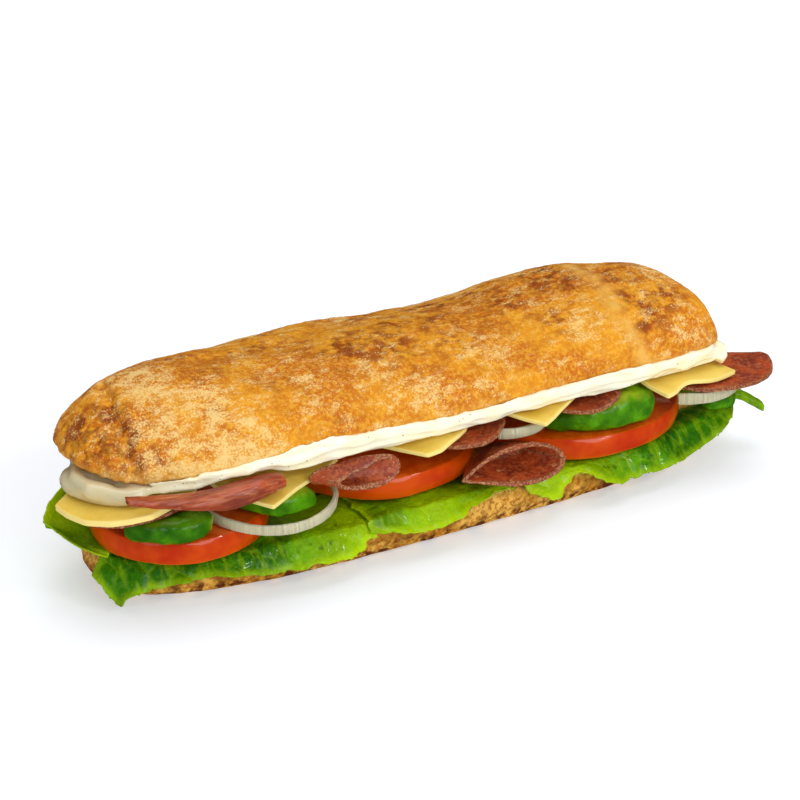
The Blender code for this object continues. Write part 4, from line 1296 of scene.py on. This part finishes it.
class SANDWICH_OT_cheese(bpy.types.Operator):
    """Make the slices of cheese"""

    bl_idname = "sandwich.cheese"
    bl_label = "Cheese"

    def execute(self, context):
        look = context.scene.sandwich_cheese
        material = cheese_finish(look)
        for i, name in enumerate(("left", "left_middle", "middle", "right_middle", "right")):
            bm = eased(reshaped(upper_sheet("cheese_" + name, CHEESE_SOLID), divided(3)), 8, 1)
            if name == "right":
                for v in bm.verts:
                    along = bell(v.co.x - 0.099, 0.009)
                    front = smooth_step(-0.022 - v.co.y, 0.0, 0.016)
                    v.co.y += 4.5 * MM * along * front
                    v.co.z += 1.2 * MM * front * (along - 0.4)
            rims = rim_distances(bm)
            moved_out(bm, lambda v: 0.3 * MM * wavy(v.co, 0.014, i))
            # Painted light: lighter along the rim of each slice.
            paint(bm, "slab", lambda v: (0.8 * smooth_step(0.0008 - rims[v.index], 0.0, 0.0006), 0.0, 0.0))
            thick = look.thickness * (1.4 if name == "left" else 1.0)
            bm = reshaped(bm, thickened(thick), softened(0.5 * MM, 3))
            finish(bm, "cheese_slice_" + name, ["cheese_" + name], material)
        return {"FINISHED"}


class SANDWICH_OT_stage(bpy.types.Operator):
    """Set up the white floor, the soft light and the camera"""

    bl_idname = "sandwich.stage"
    bl_label = "Stage"

    def execute(self, context):
        look = context.scene.sandwich_stage
        scene = context.scene
        bm = bmesh.new()
        bmesh.ops.create_grid(bm, x_segments=1, y_segments=1, size=FLOOR_REACH)
        mesh = bpy.data.meshes.new("floor")
        bm.to_mesh(mesh)
        bm.free()
        white = Finish("floor", Roughness=1.0, Specular_IOR_Level=0.0)
        white.colour(solid(FLOOR_COLOUR))
        white.shader["Emission Color"].default_value = WHITE
        white.shader["Emission Strength"].default_value = look.glow
        mesh.materials.append(white.material)
        floor = bpy.data.objects.new("floor", mesh)
        scene.collection.objects.link(floor)
        floor.visible_glossy = False

        world = bpy.data.worlds.new("studio")
        scene.world = world
        world.use_nodes = True
        sky = world.node_tree.nodes["Background"].inputs
        sky["Color"].default_value = WHITE
        sky["Strength"].default_value = look.sky
        world.cycles_visibility.glossy = False

        def light(name, kind, energy, place, **settings):
            data = bpy.data.lights.new(name, kind)
            data.energy = energy
            for key, value in settings.items():
                setattr(data, key, value)
            lamp = bpy.data.objects.new(name, data)
            lamp.location = place
            lamp.rotation_euler = (VIEW_TARGET - Vector(place)).to_track_quat("-Z", "Y").to_euler()
            scene.collection.objects.link(lamp)

        for name, (place, spread) in SUNS.items():
            light(name, "SUN", getattr(look, name), place, angle=math.radians(spread))
        spark = {"shape": "RECTANGLE", "size": SPARK_WIDTH, "size_y": SPARK_HEIGHT}
        light("spark", "AREA", look.spark, SPARK_PLACE, **spark)

        azimuth, elevation = math.radians(VIEW_AZIMUTH), math.radians(VIEW_ELEVATION)
        level = math.cos(elevation)
        back = Vector((-math.sin(azimuth) * level, -math.cos(azimuth) * level, math.sin(elevation)))
        data = bpy.data.cameras.new("camera")
        data.lens = VIEW_LENS
        data.sensor_width = SENSOR
        data.clip_start = 0.05
        camera = bpy.data.objects.new("camera", data)
        camera.location = VIEW_TARGET + back * VIEW_DISTANCE
        camera.rotation_euler = (-back).to_track_quat("-Z", "Y").to_euler()
        scene.collection.objects.link(camera)
        scene.camera = camera
        scene.view_settings.view_transform = "Standard"
        return {"FINISHED"}


OPERATORS = (
    SANDWICH_OT_upper_bread,
    SANDWICH_OT_lower_bread,
    SANDWICH_OT_mayonnaise,
    SANDWICH_OT_lettuce,
    SANDWICH_OT_tomato,
    SANDWICH_OT_avocado,
    SANDWICH_OT_onion,
    SANDWICH_OT_salami,
    SANDWICH_OT_cheese,
    SANDWICH_OT_stage,
)


class SANDWICH_PT_panel(bpy.types.Panel):
    """Lists the steps that make the sandwich"""

    bl_idname = "SANDWICH_PT_panel"
    bl_label = "Submarine Sandwich"
    bl_space_type = "VIEW_3D"
    bl_region_type = "UI"
    bl_category = "Sandwich"

    def draw(self, context):
        for operator in OPERATORS:
            self.layout.operator(operator.bl_idname)
        for name in SETTINGS:
            box = self.layout.box()
            box.label(text=name.replace("_", " ").title())
            settings = getattr(context.scene, name)
            for key in settings.__annotations__:
                box.prop(settings, key)


def register():
    for name, settings in SETTINGS.items():
        bpy.utils.register_class(settings)
        setattr(bpy.types.Scene, name, PointerProperty(type=settings))
    for made in (*OPERATORS, SANDWICH_PT_panel):
        bpy.utils.register_class(made)


def unregister():
    for made in (SANDWICH_PT_panel, *reversed(OPERATORS)):
        bpy.utils.unregister_class(made)
    for name, settings in reversed(SETTINGS.items()):
        delattr(bpy.types.Scene, name)
        bpy.utils.unregister_class(settings)


def main():
    register()
    for operator in OPERATORS:
        group_name, step = operator.bl_idname.split(".")
        getattr(getattr(bpy.ops, group_name), step)()


if __name__ == "__main__":
    main()
